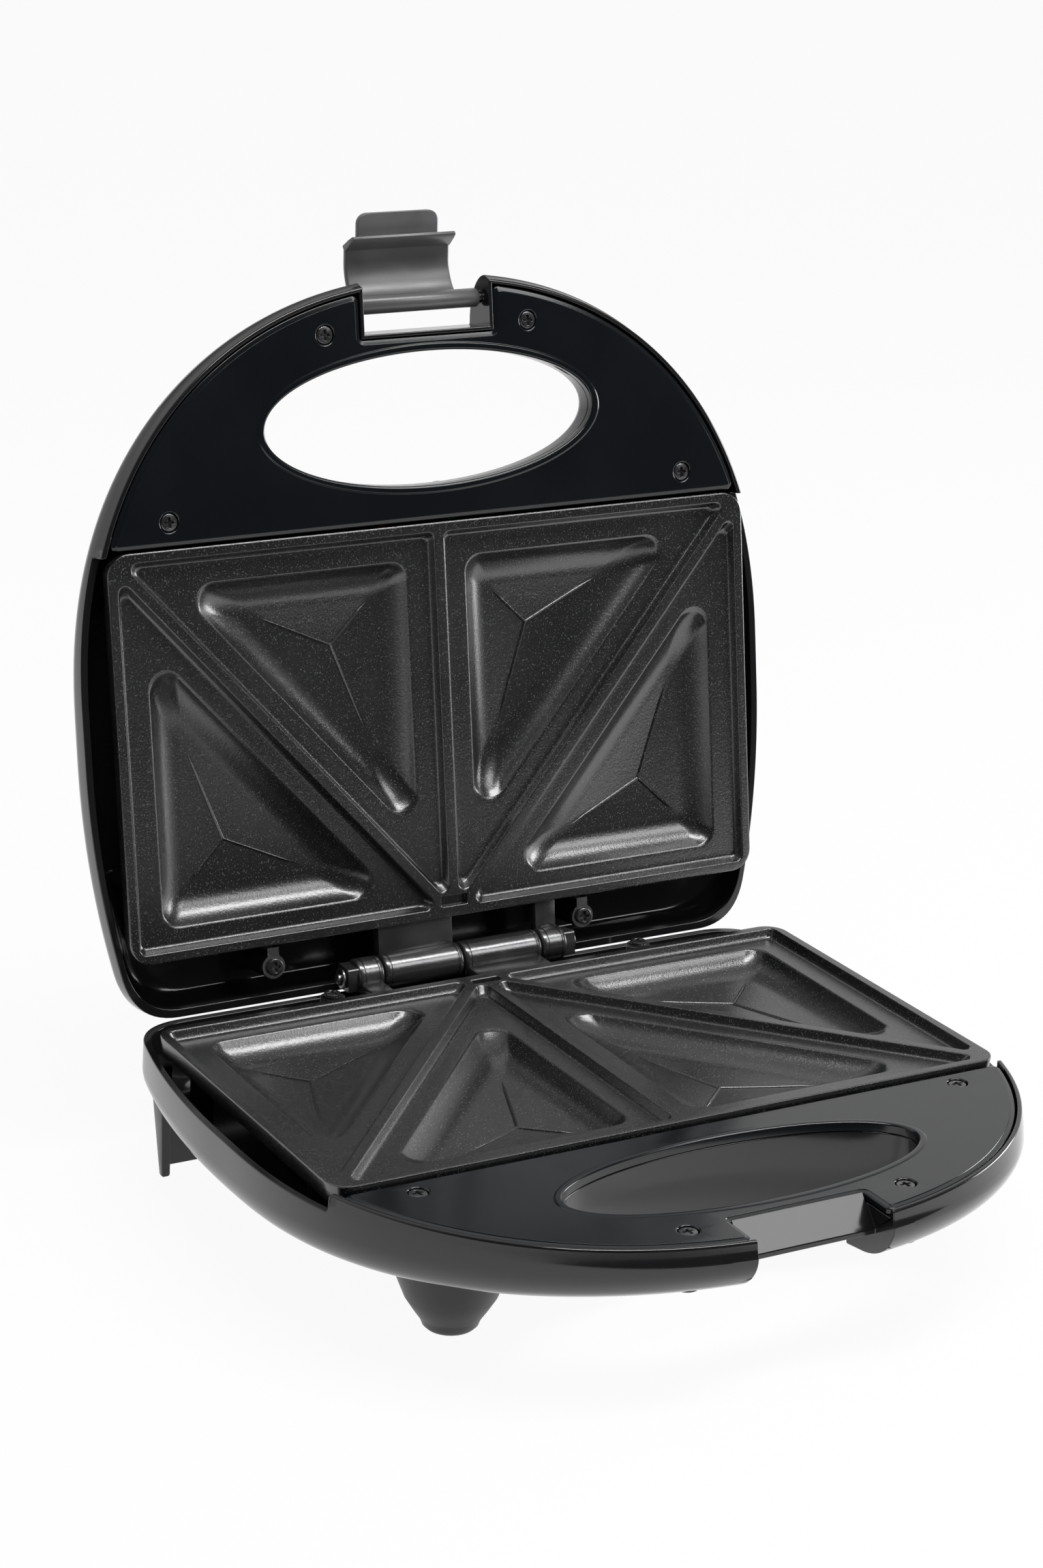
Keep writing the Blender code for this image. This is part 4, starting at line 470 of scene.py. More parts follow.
# %% [markdown]
# ## The housings
#
# Each housing is a moulded shell about 2.6 mm thick: a full-shouldered handle in front, sides
# that narrow slowly, round rear corners, and a wall that sweeps over into a low crown. It could be
# sculpted from a box with subdivision, but its outline is known, so the outline is a formula: a
# superellipse for the handle and an ellipse for the sides. Rings of that outline, each drawn in
# and lowered a little more than the last, make the outside. A second set makes the hollow, and
# Booleans take away the hollow, the hand hole, the notch for the latch and the bed of the plate.
# A Bevel then rounds the cut edges, because moulded plastic has no sharp ones.

# %% Sizes of the housings
TAIL_ARC_Y = HANDLE_ARC_Y + 0.0150
TAIL_ARC_LENGTH = 0.1860
REAR_REACH = 0.0055
REAR_CORNER = 0.0140
WALL = 0.0026
HOUSING_GAP = 0.0015
RIM_INSET, RIM_ROUND = 0.0010, 0.0008
EDGE_SWEEP = 0.0145
REAR_SWEEP = 0.0056
TUBE_WALL = 0.0022
SLOT_DEPTH = 0.0066
CROWN_Y = (HANDLE_TIP + REAR_REACH) / 2
WIDTH_POWER, LENGTH_POWER = 2.2, 2.3
FORMS = {
    "base": {"side": 0.0275, "handle": 0.0174, "crown": 0.0015, "upright": 0.56},
    "lid": {"side": 0.0220, "handle": 0.0140, "crown": 0.0070, "upright": 0.50},
}
ABOVE = -0.004

HOLE_Y = PLATE_FRONT - HANDLE_REACH * 0.424
HOLE_HALF_WIDTH = HANDLE_REACH * 0.272
HOLE_HALF_LENGTH = HALF_WIDTH * 0.4766
FLARE = {"base": HANDLE_REACH * 0.0120, "lid": HANDLE_REACH * 0.0467}
NOTCH_HALF_WIDTH = 0.0213
NOTCH_Y = PLATE_FRONT - HANDLE_REACH * 0.777
BAR_SLOPE, BAR_DEPTH = 0.0068, 0.0115
COVER_BACK = PLATE_FRONT - 2 * GAP
COVER_UNDER = HOUSING_GAP + 0.0024
COVER_SEAT = COVER_UNDER + GAP
LIP = {"base": 0.0, "lid": 0.0015}
LENS_X, LENS_Y, LENS_SEAT, LENS_RECESS = 0.0120, COVER_BACK - 0.0012, 0.0225, 0.0060
size_mm = [round(size * 1000, 1) for size in (2 * HALF_WIDTH, REAR_REACH - HANDLE_TIP)]
print("a housing is", size_mm[0], "mm wide and", size_mm[1], "mm long")


# %% Formulas of the outline
def handle_arc(inset, turns):
    """Superellipse: width times sin to 2/2.2, length times cos to 2/2.3, drawn in by the inset."""
    across = np.sign(turns) * np.abs(np.sin(turns)) ** (2 / WIDTH_POWER)
    along = np.abs(np.cos(turns)) ** (2 / LENGTH_POWER)
    y = HANDLE_ARC_Y - (HANDLE_LENGTH - inset) * along
    return np.stack([(HALF_WIDTH - inset) * across, y], axis=-1)


def turn_at_width(inset, x):
    """The arc's turn where it is as wide as x: asin of the share of the width to 2.2/2."""
    return math.asin((x / (HALF_WIDTH - inset)) ** (WIDTH_POWER / 2))


def turn_at_place(inset, y):
    """The arc's turn where it reaches y: acos of the share of the length to 2.3/2."""
    return math.acos(((HANDLE_ARC_Y - y) / (HANDLE_LENGTH - inset)) ** (LENGTH_POWER / 2))


def housing_outline(inset, rear, arc=60, side=22, corner=12, back=10):
    """The handle's arc, the side's ellipse, a quadratic corner and the straight rear, mirrored."""
    width = HALF_WIDTH - inset

    def side_x(y):
        reach = np.clip((y - TAIL_ARC_Y) / TAIL_ARC_LENGTH, 0, None)
        return width * np.sqrt(1 - reach**2)

    start_y = rear - REAR_CORNER
    side_y = np.concatenate([np.linspace(HANDLE_ARC_Y, TAIL_ARC_Y, 5)[1:-1],
                             np.linspace(TAIL_ARC_Y, start_y, side)])
    start = np.array([side_x(start_y), start_y])
    bend = np.array([side_x(rear), rear])
    end = np.array([bend[0] - REAR_CORNER, rear])
    share = np.linspace(0, 1, corner + 1)[1:, None]
    curve = (1 - share) ** 2 * start + 2 * share * (1 - share) * bend + share**2 * end
    straight = np.stack([np.linspace(end[0], 0, back + 1)[1:], np.full(back, rear)], axis=-1)
    sides = np.stack([side_x(side_y), side_y], axis=-1)
    half = np.vstack([handle_arc(inset, np.linspace(0, math.pi / 2, arc)), sides, curve, straight])
    return np.vstack([half, half[-2:0:-1] * (-1, 1)])


print("a housing's outline has", len(housing_outline(0.0, REAR_REACH)), "points")

# %% [markdown]
# ### The depth and the rings
#
# The outline alone is flat. Two formulas give it depth: how far down the wall stands upright, and
# where its sweep ends. Both fall towards the handle's tip, where the real housing gets thinner. A
# loft between drawn curves would need a curve for each section. One ring function that takes the
# depth as a formula serves the outside and the hollow alike.


# %% Formulas of the depth
def edge_depth(form, y):
    """How deep the sweep ends: the side's depth, less a fall to the power 1.6 towards the tip."""
    side, handle = FORMS[form]["side"], FORMS[form]["handle"]
    share = np.clip((TAIL_ARC_Y - y) / (TAIL_ARC_Y - HANDLE_TIP), 0, 1)
    return side - (side - handle) * share**1.6


def upright_depth(form, y):
    """Where the wall stops standing upright: a share of the side's depth, less towards the tip."""
    side = FORMS[form]["side"]
    return FORMS[form]["upright"] * side * (edge_depth(form, y) / side) ** 2


def housing_skin(form, wall, sweeps, crowns):
    """Rings from the rim over the sweep, a quarter ellipse, to a crown rising by 1 - share^2."""
    crown = FORMS[form]["crown"]

    def ring(inset, rear_inset, depth_of):
        outline = housing_outline(inset + wall, REAR_REACH - wall - rear_inset)
        return np.column_stack([outline, depth_of(outline[:, 1])])

    def upright(y):
        return upright_depth(form, y)

    def swept(y, rise):
        return upright(y) + (edge_depth(form, y) - upright(y) - wall) * rise

    rings = []
    if wall:
        rings.append(ring(0.0, 0.0, lambda y: np.full_like(y, ABOVE)))
    else:
        for away, down in rounding(RIM_ROUND, 0, 90, 6):
            depth = HOUSING_GAP + down
            rings.append(ring(RIM_INSET + away, away / 2, lambda y: np.full_like(y, depth)))
        low = HOUSING_GAP + RIM_ROUND
        for share in (0.45, 1.0):
            rings.append(ring(RIM_INSET - 0.0006 * share, 0.0, lambda y: (
                low + share * (np.minimum(0.0057, upright(y) - 0.0006) - low))))
    rings.append(ring(0.0, 0.0, upright))
    for share in np.linspace(0, 1, sweeps + 1)[1:]:
        turn = math.pi / 2 * share
        drawn, rise = 1 - math.cos(turn), math.sin(turn)
        rings.append(ring((EDGE_SWEEP - wall) * drawn, (REAR_SWEEP - wall) * drawn,
                          lambda y: swept(y, rise)))
    last = rings[-1]
    for share in np.linspace(1, 0, crowns + 1)[1:-1]:
        y = CROWN_Y + (last[:, 1] - CROWN_Y) * share
        depth = edge_depth(form, y) + crown * (1 - share**2) - wall
        rings.append(np.column_stack([last[:, 0] * share, y, depth]))
    tip = (0.0, CROWN_Y, float(edge_depth(form, CROWN_Y)) + crown - wall)
    return lofted(rings, "closed", tip)


tip_depths = {form: round(float(edge_depth(form, HANDLE_TIP)) * 1000, 1) for form in FORMS}
print("edge depth at the handle's tip, in mm", tip_depths)

# %% [markdown]
# ### Small skins
#
# The cuts and the fittings are simple closed forms: an ellipse that flares for the hand hole,
# boxes, slabs with holes, circles. Blender's own primitives could be placed by hand, but each of
# these takes its place and size from the numbers above, so all stay in step when one changes.


# %% Holes, boxes and slabs
def ellipse(half_x, half_y, depth, steps=96):
    """An ellipse round the hand hole's middle: half lengths times the turn's cosine and sine."""
    turns = np.linspace(0, 2 * math.pi, steps, endpoint=False)
    x, y = half_x * np.cos(turns), HOLE_Y + half_y * np.sin(turns)
    return np.stack([x, y, np.full(steps, depth)], axis=-1)


def hole_skin(form, margin):
    """The hand hole: straight at the cover, then flaring by 3.95 times (share - 0.5) to 1.45."""
    depth = float(edge_depth(form, HOLE_Y))
    rings = [ellipse(HOLE_HALF_LENGTH + margin, HOLE_HALF_WIDTH + margin, ABOVE)]
    for share in np.linspace(0.5, 1.62, 18):
        wide = margin + FLARE[form] * 3.95 * (share - 0.5) ** 1.45
        rings.append(ellipse(HOLE_HALF_LENGTH + wide, HOLE_HALF_WIDTH + wide, depth * share))
    return lofted(rings)


def box_skin(low, high):
    """A box between two corners."""
    x0, y0, z0 = low
    x1, y1, z1 = high
    base = [(x0, y0), (x1, y0), (x1, y1), (x0, y1)]
    return lofted([[(x, y, z) for x, y in base] for z in (z0, z1)])


def stepped(outline, steps):
    """Rings of one outline, each drawn in by an amount and put at a depth."""
    return [at_depth(drawn_in(outline, inset) if inset else outline, depth)
            for inset, depth in steps]


def slab(loops, low, high):
    """A flat slab between two depths: the first loop is its outline, the others are holes in it."""
    walls = [lofted([at_depth(loop, low), at_depth(loop, high)], "open", "open") for loop in loops]
    return joined(flat_face(loops, low), flat_face(loops, high), *walls)


def slab_along_x(loops, first, last):
    """A slab whose loops are drawn in (y, depth) and which reaches from one x to another."""
    points, faces = slab(loops, first, last)
    return points[:, [2, 0, 1]], faces


def at_depth(outline, depth):
    """An outline of (x, y) points as a ring at one depth."""
    return np.column_stack([np.asarray(outline)[:, :2], np.full(len(outline), depth)])


def circle(centre, radius, steps=40):
    """A circle of (x, y) points."""
    turns = np.linspace(0, 2 * math.pi, steps, endpoint=False)
    return centre + radius * np.stack([np.cos(turns), np.sin(turns)], axis=-1)


def drawn_in(outline, amount):
    """An outline moved inwards: each point by the amount over the cosine of half its turn."""
    outline = np.asarray(outline)[:, :2]
    ahead = np.roll(outline, -1, axis=0) - outline
    (x, y), (next_x, next_y) = outline.T, np.roll(outline, -1, axis=0).T
    area = np.sum(x * next_y - next_x * y)
    ahead /= np.linalg.norm(ahead, axis=1)[:, None]
    inward = np.stack([-ahead[:, 1], ahead[:, 0]], axis=-1) * np.sign(area)
    both = inward + np.roll(inward, 1, axis=0)
    both /= np.linalg.norm(both, axis=1)[:, None]
    return outline + both * (amount / np.sum(both * inward, axis=1))[:, None]


hole_mm = [round(2000 * half, 1) for half in (HOLE_HALF_LENGTH, HOLE_HALF_WIDTH)]
print("the hand hole is", hole_mm[0], "by", hole_mm[1], "mm")


# %% The rounded polygon, used for plates, covers and cells
def round_polygon(corners, radii, steps, per_side=1):
    """Arcs of the radii in place of the corners, and each side between cut into equal parts."""
    corners = np.asarray(corners, float)
    count = len(corners)
    arcs = []
    for index in range(count):
        corner, radius = corners[index], radii[index]
        before = corners[index - 1] - corner
        after = corners[(index + 1) % count] - corner
        before, after = before / np.linalg.norm(before), after / np.linalg.norm(after)
        half = math.acos(float(np.clip(before @ after, -1, 1))) / 2
        middle = (before + after) / np.linalg.norm(before + after)
        centre = corner + middle * radius / math.sin(half)
        reach = radius / math.tan(half)
        first = corner + before * reach - centre
        last = corner + after * reach - centre
        start = math.atan2(first[1], first[0])
        sweep = (math.atan2(last[1], last[0]) - start + math.pi) % (2 * math.pi) - math.pi
        turns = start + sweep * np.linspace(0, 1, steps + 1)
        arcs.append(centre + radius * np.stack([np.cos(turns), np.sin(turns)], axis=-1))
    rows = []
    for index in range(count):
        rows.append(arcs[index])
        if per_side > 1:
            share = np.linspace(0, 1, per_side + 1)[1:-1, None]
            rows.append(arcs[index][-1] * (1 - share) + arcs[(index + 1) % count][0] * share)
    return np.vstack(rows)


def plate_outline(inset, steps=8, per_side=12):
    """The plate's rectangle with 7 mm corners, drawn in by an inset."""
    half, front, rear = PLATE_HALF_WIDTH - inset, PLATE_FRONT + inset, PLATE_REAR - inset
    corners = [(-half, front), (half, front), (half, rear), (-half, rear)]
    return round_polygon(corners, (PLATE_CORNER - inset,) * 4, steps, per_side)


print("a plate's outline has", len(plate_outline(0.0)), "points")


# %% [markdown]
# ### What is cut from a housing
#
# The latch's notch is a plain slot in the lid and leaves a sloped bar in the base. In front of the
# plate the shell is lowered to take the cover, and from the plate's front edge back the whole rim
# is lowered, so that the plate stands above it. Each cut is a closed skin of its own, taken away
# by a Boolean. The edges could be modelled into the rings instead, but a cut can be moved later
# without a new grid.

# %% The cover's outline and the cuts
CORNER_STEPS = 6
REAR_BOSSES = [(-PLATE_HALF_WIDTH * 0.567, -0.0065), (PLATE_HALF_WIDTH * 0.428, -0.0065)]
COVER_SCREWS = [
    (side * HALF_WIDTH * share, y)
    for side, share, y in (
        (-1, 0.749, PLATE_FRONT - 0.0078),
        (-1, 0.2936, PLATE_FRONT - HANDLE_REACH * 0.789),
        (1, 0.2936, PLATE_FRONT - HANDLE_REACH * 0.789),
        (1, 0.749, PLATE_FRONT - 0.0078),
    )
]


def cover_outline(form):
    """The cover's D: the handle's arc drawn in, a straight back, and the notch with its lip."""
    inset, lip = WALL + GAP, LIP[form]
    notch = (NOTCH_HALF_WIDTH + lip, NOTCH_Y + lip)
    first, last = turn_at_place(inset, COVER_BACK), turn_at_width(inset, notch[0])
    right = handle_arc(inset, np.linspace(first, last, 70))
    rear, tip = right[0], right[-1]
    arc_side = tip + (right[-2] - tip) * 4
    bow = round_polygon([arc_side, tip, notch, (-notch[0], notch[1])],
                        (1e-5, 0.0020, 0.0012, 1e-5), CORNER_STEPS)
    back = round_polygon([(-rear[0], rear[1]), rear, right[3], (0.0, rear[1] - 0.02)],
                         (1e-5, 0.0020, 1e-5, 1e-5), CORNER_STEPS)
    away = np.minimum(np.linalg.norm(right - rear, axis=1), np.linalg.norm(right - tip, axis=1))
    per = CORNER_STEPS + 1
    half = np.vstack([back[per:2 * per], right[away > 0.0028], bow[per:3 * per]])
    return np.vstack([half, half[::-1] * (-1, 1)])


def notch_skin(form):
    """The notch: a slot in the lid, and in the base a slope down to the bar and a gap below."""
    far, deep = HANDLE_TIP - 0.004, float(edge_depth(form, NOTCH_Y)) + 0.008
    if form == "lid":
        outline = [(NOTCH_Y, ABOVE), (NOTCH_Y, deep), (far, deep), (far, ABOVE)]
    else:
        outline = [(NOTCH_Y, ABOVE), (NOTCH_Y, HOUSING_GAP),
                   (NOTCH_Y - BAR_SLOPE, BAR_DEPTH - HOUSING_GAP), (NOTCH_Y - BAR_SLOPE, BAR_DEPTH),
                   (HOLE_Y, BAR_DEPTH), (HOLE_Y, deep), (far, deep), (far, ABOVE)]
    return slab_along_x([outline], -NOTCH_HALF_WIDTH, NOTCH_HALF_WIDTH)


def solid_nose(form):
    """The block in front of the hand hole that stays solid round the notch."""
    reach = NOTCH_HALF_WIDTH + WALL
    deep = float(edge_depth(form, TAIL_ARC_Y)) + 0.008
    return box_skin((-reach, HANDLE_TIP - 0.004, -0.008), (reach, HOLE_Y - HOLE_HALF_WIDTH, deep))


def seat_skin(form):
    """The room for the cover, a little larger than the cover, up to the lip round the notch."""
    inset = WALL - 0.0002
    edge = turn_at_place(inset, HOLE_Y + HOLE_HALF_WIDTH + TUBE_WALL + 0.004)
    reach = LIP[form] - GAP
    notch = (NOTCH_HALF_WIDTH + reach, NOTCH_Y + (reach if LIP[form] else -0.0001))
    side = handle_arc(inset, np.linspace(edge, turn_at_width(inset, notch[0]), 60))
    right = np.vstack([side, notch])
    return slab([np.vstack([right, right[::-1] * (-1, 1)])], ABOVE, COVER_SEAT)


print("the covers' outlines have", [len(cover_outline(form)) for form in FORMS], "points")


# %% Housing meshes
def housing_mesh(form):
    """The outside less the hollow, hole, notch, cover's seat, plate's bed and lowered rim."""
    hollow = carved(housing_skin(form, WALL, 8, 9), [hole_skin(form, TUBE_WALL), solid_nose(form)])
    wide = HALF_WIDTH + 0.004
    bed = plate_outline(-0.0005)
    cuts = [
        hollow,
        hole_skin(form, 0.0),
        notch_skin(form),
        seat_skin(form),
        lofted([at_depth(bed, ABOVE), at_depth(bed, SLOT_DEPTH)]),
        box_skin((-wide, PLATE_FRONT + 0.0010, -0.008), (wide, REAR_REACH + 0.004, SLOT_DEPTH)),
    ]
    if form == "base":
        lead_hole = turned((0.0, 0.0), [(0.0042, -0.004), (0.0042, 0.012)], 40)
        cuts.append(along_y(lead_hole, (HALF_WIDTH * 0.511, 0.0122)))
    else:
        recess = [(LENS_RECESS, LENS_SEAT), (LENS_RECESS, LENS_SEAT + 0.008)]
        cuts += [turned((x, LENS_Y), recess, 48) for x in (-LENS_X, LENS_X)]
        pin_seats = turned((0.0, 0.0), [(0.0017, -PIN_SEAT), (0.0017, PIN_SEAT)], 32)
        cuts.append(along_x(pin_seats, (PIVOT_Y, PIVOT_DEPTH)))
    return carved(housing_skin(form, 0.0, 14, 16), cuts)


def eased_edges(mesh, width, segments, angle):
    """Round the mesh's sharp edges with a Bevel modifier, and return the new mesh."""
    shape = bmesh.new()
    shape.from_mesh(mesh)
    bmesh.ops.remove_doubles(shape, verts=shape.verts, dist=4e-5)
    bmesh.ops.dissolve_degenerate(shape, edges=shape.edges, dist=2e-5)
    shape.to_mesh(mesh)
    shape.free()
    mesh.shade_smooth()
    piece = linked("easing", mesh)
    bevel = piece.modifiers.new("edges", "BEVEL")
    bevel.width = width
    bevel.segments = segments
    bevel.limit_method = "ANGLE"
    bevel.angle_limit = angle
    bevel.use_clamp_overlap = False
    bevel.harden_normals = True
    eased = fixed_mesh(piece)
    bpy.data.objects.remove(piece, do_unlink=True)
    return eased


def weighted(piece):
    """Normals that follow the large faces, so that flats look flat beside small roundings."""
    step = piece.modifiers.new("weighted", "WEIGHTED_NORMAL")
    step.mode = "FACE_AREA"
    step.weight = 100
    step.keep_sharp = True
    mesh = fixed_mesh(piece)
    piece.modifiers.clear()
    old, piece.data = piece.data, mesh
    bpy.data.meshes.remove(old)
    return piece


print("covers sit", round(COVER_SEAT * 1000, 2), "mm deep, lenses", round(LENS_SEAT * 1000, 1))


# %% The two housings
HALVES = {"base": "lower", "lid": "upper"}
for form in HALVES:
    mesh = eased_edges(housing_mesh(form), 0.00035, 2, math.radians(35))
    mesh.transform(PLACES[form])
    piece = linked(form + "_housing", mesh)
    settle(piece, form, gloss_black, (form + "_shell",), angle=None)

# %% [markdown]
# ### What stands inside and under a housing
#
# Screw bosses, posts and the pads of the feet are moulded in one go with the housing. They are
# drawn here as turned forms that sink into its wall. The two rear legs are tapering bars with round
# corners and a thin web behind, the way such legs are cored out to keep the wall thin. They could
# be merged with the wall by a Boolean. Sunk into it they look the same, and the mesh stays clean.

# %% Bosses
AXIS_HEIGHT = 0.0500
REAR_BOSS_TOP, BOSS_RADIUS, PILOT_RADIUS, POST_RADIUS = 0.0037, 0.0038, 0.0016, 0.0034
LENS_HOLE, COLLAR_RADIUS, COLLAR_TOP, COLLAR_ROOT = 0.0037, 0.0080, 0.0200, 0.02375
LEG_ROOT, LEG_ROOT_WALL, LEG_FOOT_WALL, LEG_FRONT = 0.0140, 0.0036, 0.0026, -0.0113
LEG_X = HALF_WIDTH - 0.0122
FOOT_X, FOOT_Y = HALF_WIDTH * 0.6128, PLATE_FRONT + 0.0022
FOOT_SEAT, FOOT_PAD = 0.0275, 0.0178


def root_depth(form, y):
    """A depth that lies well inside the housing's wall."""
    return float(edge_depth(form, np.float64(y))) - WALL / 2


def boss_skin(form, place, radius, top, ease=0.0004):
    """A boss with a pilot hole: up the wall, over a small rounding, and down inside."""
    root = root_depth(form, place[1])
    outline = [(radius, root), (radius, top + ease), (radius - ease * 0.3, top + ease * 0.3),
               (radius - ease, top), (PILOT_RADIUS + 0.0002, top),
               (PILOT_RADIUS, top + 0.0003), (PILOT_RADIUS, root)]
    return turned_ring(place, outline, 40)


print("a boss starts", round(root_depth("lid", REAR_BOSSES[0][1]) * 1000, 1), "mm deep in the lid")


# %% Legs
def leg_rear(depth):
    """How far before the axis a leg's back is: 1.6 mm at its root and 9 mm at its foot."""
    return 0.0016 + 0.0074 * (depth - LEG_ROOT) / (AXIS_HEIGHT - LEG_ROOT)


def bar_rings(sections, radius, sign):
    """Rounded rectangles (x0, x1, y0, y1, depth, drawn) as rings, mirrored by the sign."""
    rings = []
    for x0, x1, y0, y1, depth, drawn in sections:
        x0, x1, y0, y1 = x0 + drawn, x1 - drawn, y0 + drawn, y1 - drawn
        corners = [(x0, y0), (x1, y0), (x1, y1), (x0, y1)]
        ring = at_depth(round_polygon(corners, (radius,) * 4, 4), depth)
        rings.append(ring * (sign, 1, 1))
    return lofted(rings)


def leg_skins():
    """Both legs: a flange that tapers from 3.6 to 2.6 mm and is round at its foot, and the web."""
    skins = []
    ease = 0.0008
    for sign in (1, -1):
        sections = []
        for depth in np.linspace(LEG_ROOT, AXIS_HEIGHT - ease, 9):
            share = (depth - LEG_ROOT) / (AXIS_HEIGHT - LEG_ROOT)
            wall = LEG_ROOT_WALL - (LEG_ROOT_WALL - LEG_FOOT_WALL) * share
            sections.append((LEG_X - wall, LEG_X, LEG_FRONT, -leg_rear(depth), depth, 0.0))
        for turn in np.radians((30, 60, 85)):
            depth = AXIS_HEIGHT - ease + ease * math.sin(turn)
            drawn = ease * (1 - math.cos(turn)) * 0.8
            sections.append((LEG_X - LEG_FOOT_WALL, LEG_X, LEG_FRONT, -leg_rear(depth), depth,
                             drawn))
        skins.append(bar_rings(sections, 0.0004, sign))
        sections = []
        for depth, width, drawn in ((0.0249, 0.0220, 0.0), (0.0460, 0.0200, 0.0),
                                    (0.0465, 0.0200, 0.0003)):
            back = -leg_rear(depth) - 0.0006
            sections.append((LEG_X - width, LEG_X - 0.0006, back - 0.0016, back, depth, drawn))
        skins.append(bar_rings(sections, 0.0004, sign))
    return skins


print("the legs have", len(leg_skins()), "skins")


# %% All the fittings of a housing
def fittings_skin(form):
    """All the moulded bosses, posts and pads of one housing."""
    skins = [boss_skin(form, place, BOSS_RADIUS, COVER_SEAT) for place in COVER_SCREWS]
    skins += [boss_skin(form, place, BOSS_RADIUS, REAR_BOSS_TOP) for place in REAR_BOSSES]
    post_x = PLATE_HALF_WIDTH - 0.0052
    for x in (-post_x, post_x):
        for y in (PLATE_REAR - 0.0240, PLATE_FRONT + 0.0200):
            post = [(POST_RADIUS, SLOT_DEPTH), (POST_RADIUS, root_depth(form, y))]
            skins.append(turned((x, y), post, 32))
    if form == "lid":
        for x in (-LENS_X, LENS_X):
            collar = [(LENS_HOLE, COLLAR_TOP), (COLLAR_RADIUS, COLLAR_TOP),
                      (COLLAR_RADIUS, COLLAR_ROOT), (LENS_RECESS, COLLAR_ROOT),
                      (LENS_RECESS, LENS_SEAT), (LENS_HOLE, LENS_SEAT)]
            skins.append(turned_ring((x, LENS_Y), collar, 48))
    else:
        for x in (-FOOT_X, FOOT_X):
            outline = [(FOOT_PAD, root_depth(form, FOOT_Y)), (FOOT_PAD, FOOT_SEAT - 0.0006),
                       (FOOT_PAD - 0.0002, FOOT_SEAT - 0.0002), (FOOT_PAD - 0.0006, FOOT_SEAT),
                       (0.0043, FOOT_SEAT), (0.0043, FOOT_SEAT - 0.0018)]
            skins.append(turned((x, FOOT_Y), outline, 72))
        skins += leg_skins()
    return joined(*skins)


for form in HALVES:
    make_piece(form + "_housing_bosses", fittings_skin(form), form, gloss_black)

# %% [markdown]
# ## The handle covers
#
# A flat plate is screwed over each hollow handle. Its border slopes a little before a fine step,
# and the hand hole has a raised lip, so both draw thin bright lines in the light. The plate is made
# from rings round its edge, its hole and its screws, and flat faces fill what lies between them.
# Cutting the holes with Booleans would work too, but the rings keep each rounding exact.


# %% The handle covers
def cover_skin(form):
    """Edge rings from the underside to the top, lip rings, screw recesses and two flat faces."""
    outline = cover_outline(form)
    top, under = HOUSING_GAP, COVER_UNDER
    edge = [(0.0003, under), (0.0, under - 0.0003), (0.0, top + 0.0010), (0.00007, top + 0.00080),
            (0.00022, top + 0.00058), (0.00045, top + 0.00047), (0.0013, top + 0.00030),
            (0.00142, top + 0.00026), (0.00150, top + 0.00006), (0.00160, top)]
    skins = [lofted(stepped(outline, edge), "open", "open")]
    lip = [(0.0026, top), (0.0024, top - 0.00006), (0.0021, top - 0.00024), (0.0018, top - 0.0003),
           (0.0009, top - 0.0003), (0.0005, top - 0.00024), (0.00015, top), (0.0, top + 0.0003),
           (0.0, under)]
    rings = [ellipse(HOLE_HALF_LENGTH + wide, HOLE_HALF_WIDTH + wide, depth, 120)
             for wide, depth in lip]
    skins.append(lofted(rings, "open", "open"))
    tops = [drawn_in(outline, edge[-1][0]), rings[0]]
    unders = [drawn_in(outline, edge[0][0]), rings[-1]]
    recess = [(0.0035, top), (0.0032, top + 0.0001), (0.0030, top + 0.0003), (0.0029, top + 0.0006),
              (0.0029, 0.0032), (0.0016, 0.0032), (0.0016, under)]
    for place in COVER_SCREWS:
        rings = [at_depth(circle(place, radius), depth) for radius, depth in recess]
        skins.append(lofted(rings, "open", "open"))
        tops.append(rings[0])
        unders.append(rings[-1])
    skins += [flat_face(tops, top), flat_face(unders, under)]
    half = PLATE_HALF_WIDTH - PLATE_CORNER - WALL
    front = COVER_BACK - 0.0020
    corners = [(-half, front), (half, front), (half, COVER_BACK), (-half, COVER_BACK)]
    skirt = round_polygon(corners, (0.0004,) * 4, 3)
    steps = [(0.0, under - 0.0006), (0.0, top + 0.0083), (0.0002, top + 0.0085)]
    skins.append(lofted(stepped(skirt, steps)))
    return joined(*skins)


for form in HALVES:
    skin, plain = cover_skin(form), form + "_handle_cover"
    weighted(make_piece(form + "_cover", skin, form, cover_black, (plain,)))

# %% [markdown]
# ## The grill plates
#
# The plates are the skilled part of the object: die-cast aluminium, with four triangular pockets
# that press and seal the bread. Each pocket has a rounded edge, a coved wall and a floor that falls
# to its middle, and ridges with a small draft stand between them. Every triangle is the same
# family of rings, drawn in by different amounts for each side, so one function serves all eight.
# A flat sheet could be pushed into shape with sculpting tools, but a casting has even draft and
# even radii, and formulas give those directly.


# %% Sizes and rings of a plate
LAND, FLOOR, PLATE_UNDERSIDE, PLATE_BOTTOM = 0.0033, 0.0095, 0.0063, 0.0118
RIDGE, RIM = 0.0018, 0.0032
COVE = 0.0100
FLOOR_FALL = 0.0008
# A cell's corners, the insets of its walls, and the insets of its pocket's edge.
CELLS = (
    ([(0.0, PLATE_REAR), (0.0, PLATE_FRONT), (-PLATE_HALF_WIDTH, PLATE_FRONT)],
     (RIDGE, RIM, RIDGE), (0.0105, 0.0120, 0.0095)),
    ([(0.0, PLATE_REAR), (-PLATE_HALF_WIDTH, PLATE_FRONT), (-PLATE_HALF_WIDTH, PLATE_REAR)],
     (RIDGE, RIM, RIM), (0.0095, 0.0125, 0.0098)),
)
